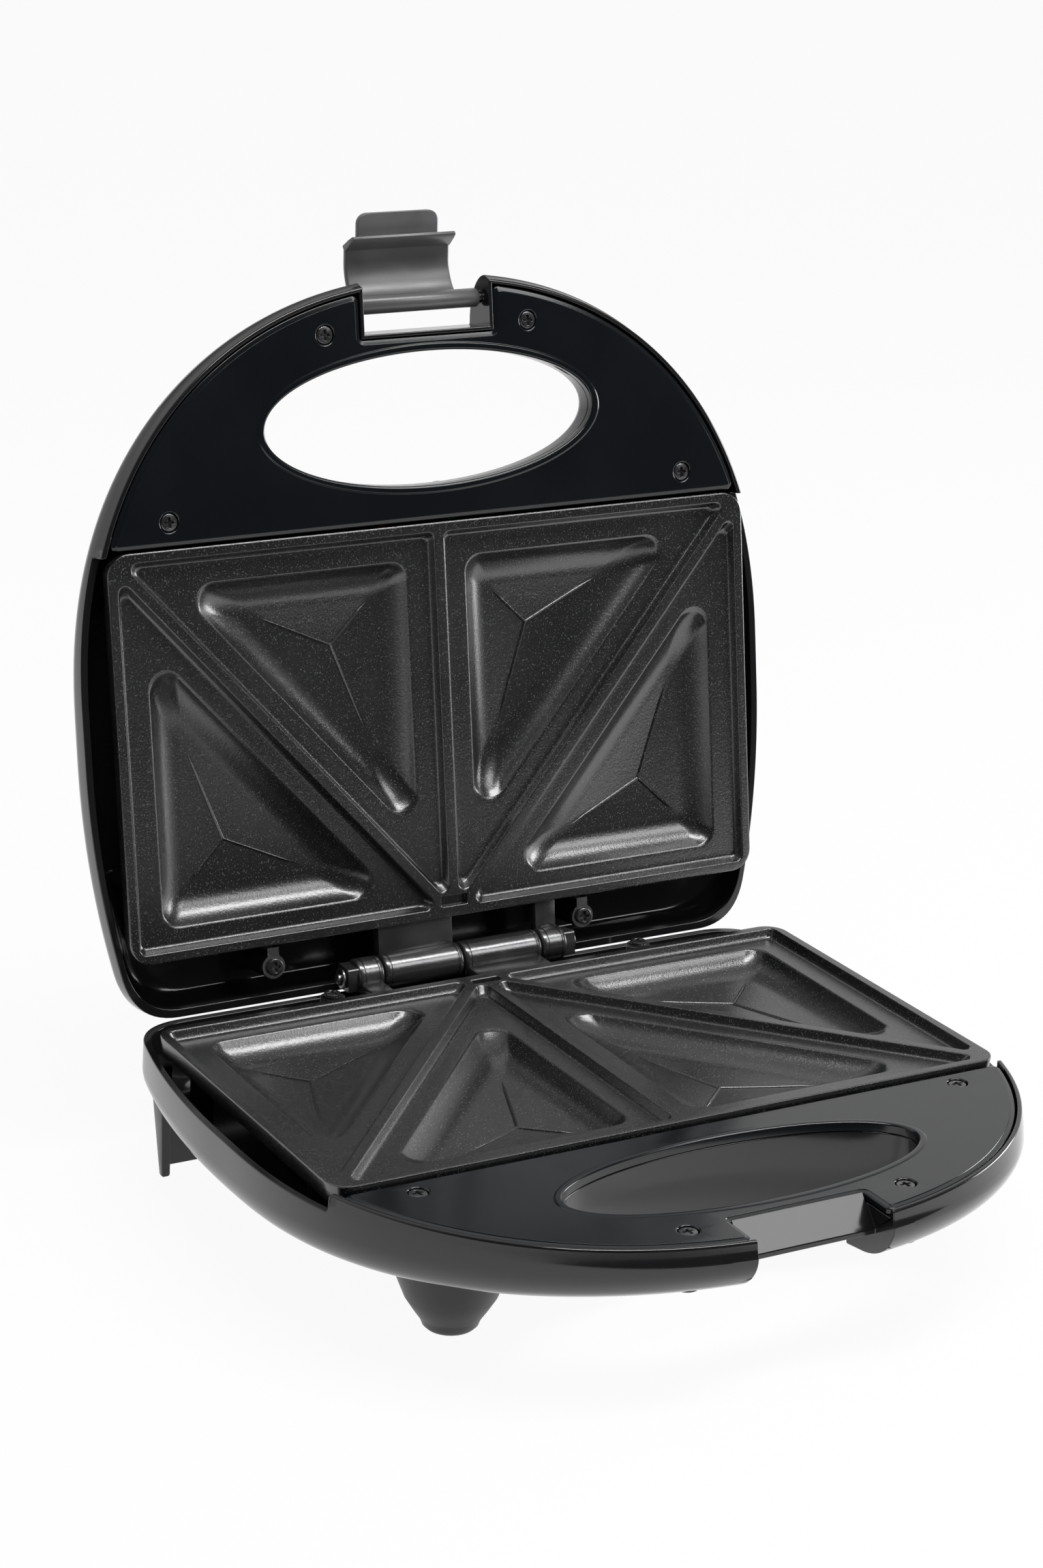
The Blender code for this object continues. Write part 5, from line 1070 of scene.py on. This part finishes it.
# How far a ring is drawn in, and its depth.
WALL_RINGS = (
    (-0.00050, GAP), (-0.00030, GAP + 0.00004), (-0.00012, GAP + 0.00018), (0.0, GAP + 0.0005),
    (0.00045, 0.0019), (0.00072, 0.0025), (0.00095, 0.0029), (0.00130, 0.00318), (0.00180, LAND),
)
EDGE_RINGS = (
    (-0.00070, LAND + 0.00005), (-0.00040, LAND + 0.00018), (-0.00018, LAND + 0.00036),
    (0.0, LAND + 0.0006),
)
BULGE_RINGS = (
    (-0.0015, PLATE_UNDERSIDE), (-0.0012, 0.0071), (0.0004, 0.0091), (0.0028, 0.0103),
    (0.0046, 0.0112), (0.0057, PLATE_BOTTOM),
)
PLATE_EDGE = (
    (0.0006, GAP), (0.00035, GAP + 0.00005), (0.00012, GAP + 0.0002), (0.0, GAP + 0.0006),
    (0.0003, 0.0034), (0.0006, PLATE_UNDERSIDE - 0.0004), (0.0008, PLATE_UNDERSIDE - 0.0001),
    (0.0012, PLATE_UNDERSIDE),
)
ARC_STEPS, SIDE_PARTS = 7, 14
print("cells in half a plate", len(CELLS), "and rings above the cove", len(WALL_RINGS + EDGE_RINGS))


# %% Triangles between the ridges
def drawn_triangle(corners, insets):
    """A triangle with each side moved inwards by its own amount: where the moved sides cross."""
    corners = np.asarray(corners, float)
    inside = corners.mean(axis=0)
    lines = []
    for index in range(3):
        start, along = corners[index], corners[(index + 1) % 3] - corners[index]
        normal = np.array([-along[1], along[0]]) / np.linalg.norm(along)
        normal *= np.sign((inside - start) @ normal)
        lines.append((normal, normal @ start + insets[index]))
    crossings = []
    for index in range(3):
        (first, reach), (second, other) = lines[index - 1], lines[index]
        crossings.append(np.linalg.solve(np.stack([first, second]), (reach, other)))
    return np.array(crossings)


def middle_of(triangle):
    """The incentre: the corners' mean weighted by the lengths of the opposite sides."""
    weights = np.linalg.norm(np.roll(triangle, -1, axis=0) - np.roll(triangle, -2, axis=0), axis=1)
    return (triangle * weights[:, None]).sum(axis=0) / weights.sum()


def triangle_ring(corners, insets, more, radius, depth):
    """A round-cornered triangle ring, drawn in by its insets and a little more."""
    triangle = drawn_triangle(corners, [inset + more for inset in insets])
    return at_depth(round_polygon(triangle, (radius,) * 3, ARC_STEPS, SIDE_PARTS), depth)


def cell_rings(corners, walls, pocket):
    """From the crest over the drafted wall, the land, the pocket's rounded edge and its cove."""
    rings = [triangle_ring(corners, walls, more, 0.0022 - more * 0.3, depth)
             for more, depth in WALL_RINGS]
    outer = triangle_ring(corners, walls, 0.0018, 0.0022, LAND)
    edge = triangle_ring(corners, pocket, -0.0010, 0.0060, LAND)
    rings += [outer * (1 - share) + edge * share for share in (0.34, 0.67, 1.0)]
    rings += [triangle_ring(corners, pocket, more, 0.0056, depth) for more, depth in EDGE_RINGS]
    top = 2 * math.atan((FLOOR - LAND - 0.0006) / COVE)
    for turn in np.linspace(top, 0, 12)[1:]:
        share = 1 - math.sin(turn) / math.sin(top)
        fall = (math.cos(turn) - math.cos(top)) / (1 - math.cos(top))
        depth = LAND + 0.0006 + (FLOOR - LAND - 0.0006) * fall
        rings.append(triangle_ring(corners, pocket, COVE * share, 0.0055 - 0.0040 * share, depth))
    return rings


rings = cell_rings(*CELLS[0])
print("a cell has", len(rings), "rings of", len(rings[0]), "points")

# %% [markdown]
# ### The floor of a pocket
#
# The floor falls a little to the middle of its triangle, and three thin raised lines run from
# there towards the corners. Its rings go on inwards from the cove, and each line is a half round
# of its own. The lines could be raised in the floor's own grid, but then all of the floor would
# need a grid as fine as a line.


# %% Pocket floors and bulges
def floor_depth(share):
    """The floor falls 0.8 mm from its edge (share 1) to its middle (share 0)."""
    return FLOOR + FLOOR_FALL * (1 - np.asarray(share) ** 1.5)


def floor_rib(middle, corner_point):
    """A thin raised line on the floor, half round, fading out at its end."""
    share = np.linspace(0.0, 0.92, 17)
    line = middle + (corner_point - middle) * share[:, None]
    along = (corner_point - middle) / np.linalg.norm(corner_point - middle)
    across = np.array([-along[1], along[0]])
    fade = np.clip((0.92 - share) / 0.20, 0.10, 1.0)
    turns = np.linspace(0, math.pi, 7)
    rings = []
    for point, depth, size in zip(line, floor_depth(share), fade):
        arc = point + across * (0.00062 * size * np.cos(turns))[:, None]
        height = (0.0003 + 0.00050 * size) * np.sin(turns)
        rings.append(np.column_stack([arc, depth + 0.0003 - height]))
    return lofted(rings)


def pocket_skins(corners, walls, pocket, sign):
    """One cell's pocket, the lines on its floor and its bulge below, and two border rings."""
    mirror = (sign, 1, 1)
    rings = [ring * mirror for ring in cell_rings(corners, walls, pocket)]
    last = rings[-1]
    triangle = drawn_triangle(corners, [inset + COVE for inset in pocket])
    middle = middle_of(triangle) * (sign, 1)
    for share in (0.93, 0.84, 0.72, 0.58, 0.42, 0.25, 0.10):
        ring = middle + (last[:, :2] - middle) * share
        rings.append(at_depth(ring, floor_depth(share)))
    skins = [lofted(rings, "open", (*middle, FLOOR + FLOOR_FALL))]
    per_corner = ARC_STEPS + SIDE_PARTS
    tips = last[ARC_STEPS // 2::per_corner, :2]
    skins += [floor_rib(middle, tip) for tip in tips]
    bulge = [triangle_ring(corners, pocket, more, 0.0055, depth) * mirror
             for more, depth in BULGE_RINGS]
    skins.append(lofted(bulge, "open", (*middle, PLATE_BOTTOM)))
    return skins, rings[0], bulge[0]


print("the floor falls from", FLOOR, "to", round(float(floor_depth(0.0)), 5), "m")


# %% The plates
def plate_skin():
    """Crest, cells, outer wall and underside with its bulges."""
    skins, crest, underside = [], [plate_outline(0.0006)], []
    for corners, walls, pocket in CELLS:
        for sign in (1, -1):
            cell, border, under_border = pocket_skins(corners, walls, pocket, sign)
            skins += cell
            crest.append(border)
            underside.append(under_border)
    rear = PLATE_REAR - RIM
    front = rear - 0.0038
    channel = round_polygon([(-0.0050, front), (0.0050, front), (0.0050, rear), (-0.0050, rear)],
                            (0.0008,) * 4, 4, 3)
    crest.append(channel)
    steps = [(0.0, GAP), (0.0002, GAP + 0.00008), (0.0004, GAP + 0.0004), (0.0005, 0.0022),
             (0.0007, 0.0025)]
    skins.append(lofted(stepped(channel, steps), "open", "closed"))
    rings = [at_depth(plate_outline(inset), depth) for inset, depth in PLATE_EDGE]
    skins.append(lofted(rings, "open", "open"))
    skins += [flat_face(crest, GAP), flat_face([rings[-1]] + underside, PLATE_UNDERSIDE)]
    return joined(*skins)


for form, word in HALVES.items():
    name, plain = word + "_grill_plate", word + "_plate"
    weighted(make_piece(name, plate_skin(), form, coating, (plain,)))

# %% [markdown]
# ## The hinge
#
# Each plate carries half of the hinge in its casting: a long knuckle beside the middle, a short
# one further out and a stop lug that meets its twin when the lid stands open. A zinc-plated pin
# goes through them all. Turned outlines give the barrels their rounded, grooved ends. A plain
# cylinder with a Bevel would do for one, but the groove and the bore come free with an outline.

# %% Knuckles, webs, stop lugs and the pin
KNUCKLE, BORE, LUG_HALF = 0.0054, 0.0019, 0.0038
LONG_SPAN, END_SPAN = (-0.02735, -0.00035), (0.02805, 0.03655)


def knuckle_skin(first, last):
    """A bored barrel along the axis, with round ends and a groove near each."""
    half = [(0.0, KNUCKLE - 0.0007), (0.0002, KNUCKLE - 0.0003), (0.0006, KNUCKLE),
            (0.0015, KNUCKLE), (0.0017, KNUCKLE - 0.00025), (0.0020, KNUCKLE - 0.00025),
            (0.0022, KNUCKLE)]
    outline = [(radius, first + away) for away, radius in half]
    outline += [(radius, last - away) for away, radius in half[::-1]]
    outline += [(BORE + 0.0003, last), (BORE, last - 0.0003), (BORE, first + 0.0003),
                (BORE + 0.0003, first)]
    return along_x(turned_ring((0.0, 0.0), outline, 64), (0.0, 0.0))


def rounded_block_x(low, high, radius, ease):
    """A bar along X with rounded long edges and eased ends, from (y, depth) corners."""
    (x0, y0, z0), (x1, y1, z1) = low, high
    outline = round_polygon([(y0, z0), (y1, z0), (y1, z1), (y0, z1)], (radius,) * 4, 4)
    steps = [(ease, x0), (ease * 0.3, x0 + ease * 0.3), (0.0, x0 + ease),
             (0.0, x1 - ease), (ease * 0.3, x1 - ease * 0.3), (ease, x1)]
    points, faces = lofted(stepped(outline, steps))
    return points[:, [2, 0, 1]], faces


def lug_skin():
    """The square stop lug with its bore: a slab along the axis."""
    corners = np.array([(-1, -1), (1, -1), (1, 1), (-1, 1)]) * LUG_HALF
    square = round_polygon(corners, (0.0007,) * 4, 5)
    first = END_SPAN[1] - 0.0006
    return slab_along_x([square, circle((0.0, 0.0), BORE, 40)], first, END_SPAN[1] + 0.0034)


def hinge_skin():
    """Knuckles, the webs that tie them to the plate, and the stop lug."""
    skins = [knuckle_skin(*LONG_SPAN), knuckle_skin(*END_SPAN), lug_skin()]
    for first, last in (LONG_SPAN, END_SPAN):
        low = (first + 0.0006, PLATE_REAR - 0.0016, 0.0011)
        skins.append(rounded_block_x(low, (last - 0.0006, -0.0025, 0.0051), 0.0006, 0.0004))
    return joined(*skins)


for form, word in HALVES.items():
    make_piece(word + "_hinge_knuckles", hinge_skin(), form, knuckle_metal)

pin = [(0.0010, -0.04145), (0.0022, -0.0413), (0.0027, -0.0410), (0.0028, -0.0406),
       (0.0028, -0.04025), (0.0016, -0.04025), (0.0016, 0.0419), (0.0014, 0.04215),
       (0.0010, 0.04225)]
clip = [(0.0019, 0.04030), (0.0030, 0.04030), (0.0032, 0.0404), (0.0032, 0.0409),
        (0.0030, 0.0410), (0.0019, 0.0410)]
for name, skin, plain in (
    ("turned_hinge_pin", turned((0.0, 0.0), pin, 48), "hinge_pin"),
    ("pressed_hinge_clip", turned_ring((0.0, 0.0), clip, 48), "hinge_pin_clip"),
):
    make_piece(name, along_x(skin, (0.0, 0.0)), "base", bright_zinc, (plain,))

# %% [markdown]
# ## The latch
#
# The latch is a curved plate that hangs from a barrel and ends in a finger tab, with a rib across
# it that snaps under the bar of the base. Its section is a flat bar with rounded edges, carried
# along a line of two arcs and a straight. The width follows the same line, full down to the rib
# and narrower for the tab, whose end closes in a quarter circle. A curve with a bevel object would
# bend the plate just as well, but it can't change the width at the rib in one step.


# %% The latch's line
BARREL, LATCH_HALF, TAB_HALF, TAB_CORNER, THICK = 0.0029, 0.0178, 0.0139, 0.0032, 0.0020
BARREL_END, BARREL_BORE = 0.0200, 0.0017
NECK_RADIUS, BELLY_RADIUS, TAIL_LENGTH = 0.0092, 0.0140, 0.0145
HOOK_TOP, HOOK_BOTTOM = -0.0198, -0.0220
RIB_Z = (HOOK_TOP + HOOK_BOTTOM) / 2


def latch_line():
    """(y, z, turn) along the middle: the neck's arc of 75 degrees, the belly's of 40, the tail."""
    neck = (NECK_RADIUS - 0.0080, -NECK_RADIUS - THICK / 2 + BARREL / 2)
    turns = math.pi - math.radians(75) * (1 - np.linspace(0, 1, 18))
    first = np.stack([neck[0] + NECK_RADIUS * np.cos(turns),
                      neck[1] + NECK_RADIUS * np.sin(turns), turns], axis=-1)
    turns = math.pi + math.radians(40) * np.linspace(0, 1, 14)[1:]
    belly = first[-1, 0] + BELLY_RADIUS
    second = np.stack([belly + BELLY_RADIUS * np.cos(turns),
                       first[-1, 1] + BELLY_RADIUS * np.sin(turns), turns], axis=-1)
    y, z, turn = second[-1]
    straight = TAIL_LENGTH - TAB_CORNER
    corner = TAB_CORNER * np.sin(np.radians(np.linspace(0, 88, 10)[1:]))
    away = np.concatenate([np.linspace(0, 1, 24)[1:] * straight, straight + corner])
    third = np.stack([y - away * math.sin(turn), z + away * math.cos(turn),
                      np.full(len(away), turn)], axis=-1)
    return np.vstack([first, second, third])


print("the latch's line has", len(latch_line()), "points")


# %% The latch and its pin
def latch_skin():
    """The bent plate, its barrel and its hook rib, drawn about the pivot as it hangs hooked."""
    line = latch_line()
    on_tail = line[:, 2] == line[-1, 2]
    reach = np.linalg.norm(line[:, :2] - line[-1, :2], axis=1) * np.where(on_tail, 1, 9)
    width = np.where(line[:, 1] > RIB_Z, LATCH_HALF, TAB_HALF)
    close = np.clip(TAB_CORNER - reach, 0, TAB_CORNER * 0.999)
    width = width - (TAB_CORNER - np.sqrt(TAB_CORNER**2 - close**2))
    thin = THICK / 2
    rings = []
    for (y, z, turn), half in zip(line, width):
        corners = [(-half, -thin), (half, -thin), (half, thin), (-half, thin)]
        x, out = round_polygon(corners, (0.00075,) * 4, 5, 4).T
        rings.append(np.stack([x, y + out * math.cos(turn), z + out * math.sin(turn)], axis=-1))
    skins = [lofted(rings)]
    end = BARREL_END
    outline = [(BARREL - 0.0005, -end), (BARREL - 0.00015, 0.00015 - end), (BARREL, 0.0005 - end),
               (BARREL, end - 0.0005), (BARREL - 0.00015, end - 0.00015), (BARREL - 0.0005, end),
               (BARREL_BORE, end), (BARREL_BORE, -end)]
    skins.append(along_x(turned_ring((0.0, 0.0), outline, 56), (0.0, 0.0)))
    near = float(np.interp(-RIB_Z, -line[on_tail, 1], line[on_tail, 0]))
    hook_tip = NOTCH_Y - BAR_SLOPE - PIVOT_Y + 0.0030
    rings = []
    for share, half, rise, ease in ((0.0, 0.0181, 0.0, 0.0), (0.6, 0.0179, 0.0005, 0.0),
                                    (0.93, 0.0176, 0.0009, 0.0), (1.0, 0.0173, 0.0012, 0.0003)):
        low, high = HOOK_BOTTOM + rise, HOOK_TOP - ease
        corners = [(-half, low), (half, low), (half, high), (-half, high)]
        x, z = round_polygon(corners, (0.00035,) * 4, 4).T
        y = np.full(len(x), near + (hook_tip - near) * share)
        rings.append(np.stack([x, y, z], axis=-1))
    skins.append(lofted(rings))
    return joined(*skins)


# The latch's finish carries painted sheen: a grey colour where the black plastic is lit.
make_piece("curved_latch", latch_skin(), "latch", latch_plastic_painted_sheen, ("latch",),
           math.radians(50))
end = PIN_SEAT - GAP
pin = turned((0.0, 0.0), [(0.0011, -end), (0.0014, -end + 0.0003), (0.0014, end - 0.0003),
                          (0.0011, end)], 40)
make_piece("turned_latch_pin", along_x(pin, (PIVOT_Y, PIVOT_DEPTH)), "lid", bright_zinc,
           ("latch_pin",))

# %% [markdown]
# ## Screws
#
# Twelve small pan-head screws hold the covers and the pans. The head is a low dome, and its cross
# recess is a dip in the same surface: near either arm of the cross the dome sinks by 0.9 mm, with
# walls that lean a little. The rings of the head are all one array with a formula for the depth.
# Twelve Booleans could cut the crosses as well, but this way every head keeps an even grid.


# %% Screws
DOME_RADIUS, CROSS_DEPTH = 0.00245, 0.0009


def screw_skin(place, top):
    """A dome 0.22 mm high and 2.45 mm in radius, less the cross, over a plain shank."""
    steps = 72
    radii = np.linspace(0.05, 1, 26)[:, None] ** 0.9 * DOME_RADIUS
    turns = np.linspace(0, 2 * math.pi, steps, endpoint=False)
    x, y = radii * np.cos(turns), radii * np.sin(turns)
    dome = 0.00022 * (radii / DOME_RADIUS) ** 2
    near, far = np.minimum(np.abs(x), np.abs(y)), np.maximum(np.abs(x), np.abs(y))
    across = np.clip((0.00050 - near) / 0.00013, 0, 1)
    along = np.clip((0.00170 - far) / 0.00035, 0, 1)
    rings = list(np.stack([x, y, dome + CROSS_DEPTH * across * along], axis=-1))
    for radius, lower in ((0.00258, 0.00032), (0.0026, 0.0005), (0.0026, 0.0012),
                          (0.0013, 0.0012), (0.0013, 0.0082), (0.0008, 0.0085)):
        rings.append(at_depth(circle((0.0, 0.0), radius, steps), lower))
    points, faces = lofted(rings, (0.0, 0.0, CROSS_DEPTH))
    return points + (*place, top), faces


for form, word in HALVES.items():
    for places, top, name, plain in (
        (COVER_SCREWS, HOUSING_GAP + 0.0002, form + "_cover_panhead_", form + "_cover_screw_"),
        (REAR_BOSSES, 0.0011, word + "_pan_panhead_", word + "_reflector_screw_"),
    ):
        for index, place in enumerate(places, 1):
            make_piece(f"{name}{index}", screw_skin(place, top), form, screw_black,
                       (f"{plain}{index}",))

# %% [markdown]
# ## Feet
#
# The two front feet are turned cones of soft plastic, pressed into sockets under the base. A foot
# like this is moulded in one piece, so one outline carried round a full turn is all it needs. A
# Screw modifier on a drawn line gives the same form, and the array just does without the line.

# %% Feet
foot = [(0.0040, 0.0260), (0.0040, 0.0278), (0.0166, 0.0278), (0.0170, 0.0279), (0.0172, 0.0283),
        (0.0166, 0.0302), (0.0150, 0.0345), (0.0132, 0.0392), (0.0110, 0.0428), (0.0095, 0.0450),
        (0.0086, 0.0464), (0.0080, 0.0480), (0.0070, 0.0490), (0.0056, 0.0497), (0.0042, 0.0500)]
for label, x in (("right", -FOOT_X), ("left", FOOT_X)):
    make_piece(f"cone_foot_{label}", turned((x, FOOT_Y), foot, 96), "base", foot_plastic,
               (f"front_foot_{label}",))

# %% [markdown]
# ## Pieces that keep their shape
#
# Heaters, pans, clamps, the thermostat and the lamps sit inside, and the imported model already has
# them. They get the finish of what they are made of: steel, ceramic, glass. They could be drawn
# again like the rest, but hardly anyone sees them, and the plain forms already fit.

# %% Finishes for the pieces inside
INSIDE = {
    "element_clamp": sheet_steel, "reflector": sheet_steel, "element": heater_steel,
    "terminal_block": glazed_ceramic, "thermal_fuse": glazed_ceramic, "thermostat": glazed_ceramic,
    "lead_bush": foot_plastic, "power_lens": red_glass, "ready_lens": green_glass,
    "lamp": neon_glass,
}
kept = [name for name, node in sorted(frame["nodes"].items()) if not node.hide_render]
for name in kept:
    finish = next(finish for word, finish in INSIDE.items() if word in name)
    for place in frame["nodes"][name].material_slots:
        place.material = finish
print("kept pieces", kept)

# %% [markdown]
# ## Floor, light and camera
#
# The photo is a product shot: a white ground that melts into a white background, one broad soft
# light from above, and darkness before the object that shows in the polished cover. The floor is
# mostly bright by itself to the camera but also takes light and shadow like paper. The world is
# white to the camera, dim as a lamp, and graded from dark in front to white behind in reflections.
# The ground follows that: before the object it is dark in reflections. A picture of a studio could
# light the scene in one step, but then no single lamp could be moved or dimmed.

# %% Floor
FRONT_FAR, FRONT_NEAR = -0.52, -0.50
REACH = 12.0
ground = bpy.data.materials.new("White paper ground")
ground.use_nodes = True
tree = ground.node_tree
tree.nodes.clear()
place = new_node(tree, "TexCoord").outputs["Object"]
fibre = new_node(tree, "Group", {"Vector": place, "Scale": 260.0}, node_tree=grain)
tone = range_node(tree, fibre.outputs["Height"], 0.3, 0.8, 0.80, 0.82)
paper = new_node(tree, "BsdfDiffuse", {"Color": tone}).outputs["BSDF"]
rays = new_node(tree, "LightPath").outputs
along = new_node(tree, "SeparateXYZ", {"Vector": place}).outputs["Y"]
share = range_node(tree, along, FRONT_FAR, FRONT_NEAR, 1.0, 0.50)
change = range_node(tree, along, FRONT_FAR, FRONT_NEAR, -0.95, 0.60)
mirrored_share = math_node(tree, "MULTIPLY", rays["Is Glossy Ray"], share)
glowing_share = math_node(tree, "MULTIPLY_ADD", rays["Is Camera Ray"], 0.94, mirrored_share)
strength = math_node(tree, "MULTIPLY_ADD", rays["Is Glossy Ray"], change, 1.0)
glow = new_node(tree, "Emission", {"Strength": strength}).outputs["Emission"]
seen = new_node(tree, "MixShader", {"Fac": glowing_share, 1: paper, 2: glow}).outputs["Shader"]
new_node(tree, "OutputMaterial", {"Surface": seen})
floor_mesh = bpy.data.meshes.new("ground")
corners = [(-REACH, -REACH, 0.0), (REACH, -REACH, 0.0), (REACH, REACH, 0.0), (-REACH, REACH, 0.0)]
floor_mesh.from_pydata(corners, [], [(0, 1, 2, 3)])
floor_mesh.materials.append(ground)
floor = linked("ground", floor_mesh)
print("ground is", 2 * REACH, "m square, with", len(tree.nodes), "nodes")

# %% World
world = bpy.data.worlds.new("White studio")
bpy.context.scene.world = world
world.use_nodes = True
tree = world.node_tree
tree.nodes.clear()
rays = new_node(tree, "LightPath").outputs
direction = new_node(tree, "TexCoord").outputs["Generated"]
ahead = new_node(tree, "SeparateXYZ", {"Vector": direction}).outputs["Y"]
graded = range_node(tree, ahead, -0.35, 0.55, 0.05, 1.0)
white, room, mirrored = (
    new_node(tree, "Background", {"Strength": level}).outputs["Background"]
    for level in (1.0, 0.35, graded)
)
lit = new_node(tree, "MixShader", {"Fac": rays["Is Glossy Ray"], 1: room, 2: mirrored})
straight = math_node(tree, "MAXIMUM", rays["Is Camera Ray"], rays["Is Transmission Ray"])
seen = new_node(tree, "MixShader", {"Fac": straight, 1: lit.outputs["Shader"], 2: white})
new_node(tree, "OutputWorld", {"Surface": seen.outputs["Shader"]})
print("world", world.name, "has", len(tree.nodes), "nodes")


# %% Lamps
def soft_lamp(name, place, target, size, power):
    """A rectangular area lamp of a size, aimed at a target."""
    data = bpy.data.lights.new(name, "AREA")
    data.shape = "RECTANGLE"
    data.size, data.size_y = size
    data.energy = power
    lamp = bpy.data.objects.new(name, data)
    back = np.subtract(place, target)
    back /= np.linalg.norm(back)
    right = np.cross((0.0, 1.0, 0.0), back)
    right /= np.linalg.norm(right)
    up = np.cross(back, right)
    turn = Matrix(np.column_stack([right, up, back]).tolist()).to_4x4()
    lamp.matrix_world = Matrix.Translation(place) @ turn
    bpy.context.scene.collection.objects.link(lamp)
    return lamp


soft_lamp("overhead softbox", (0.15, -0.38, 1.30), (0.0, 0.0, 0.10), (1.2, 0.26), 15.0)
soft_lamp("side strip", (1.20, -0.05, 0.23), (0.0, 0.05, 0.15), (0.36, 0.55), 7.0)
soft_lamp("front softbox", (0.97, -1.22, 1.26), (0.0, -0.12, 0.05), (0.75, 0.55), 7.5)
print("lamps", {lamp.name: lamp.energy for lamp in bpy.data.lights})

# %% Camera
AZIMUTH, ELEVATION, ROLL = math.radians(-29.084), math.radians(18.212), math.radians(1.652)
camera_data = bpy.data.cameras.new("photo camera")
camera_data.lens = 80.52
camera_data.sensor_fit = "VERTICAL"
camera_data.sensor_height = 36.0
camera = bpy.data.objects.new("photo camera", camera_data)
bpy.context.scene.collection.objects.link(camera)
back = np.array([math.sin(AZIMUTH) * math.cos(ELEVATION), -math.cos(AZIMUTH) * math.cos(ELEVATION),
                 math.sin(ELEVATION)])
right = np.array([math.cos(AZIMUTH), math.sin(AZIMUTH), 0.0])
turn = Matrix(np.column_stack([right, np.cross(back, right), back]).tolist()).to_4x4()
roll = Matrix.Rotation(ROLL, 4, "Z")
camera.matrix_world = Matrix.Translation((-0.48350, -0.827205, 0.44640)) @ turn @ roll
bpy.context.scene.camera = camera
bpy.context.scene.view_settings.view_transform = "Standard"
print("camera at", [round(v, 4) for v in camera.location])

# %% Sizes and the end
print("pieces made", len(made_pieces))
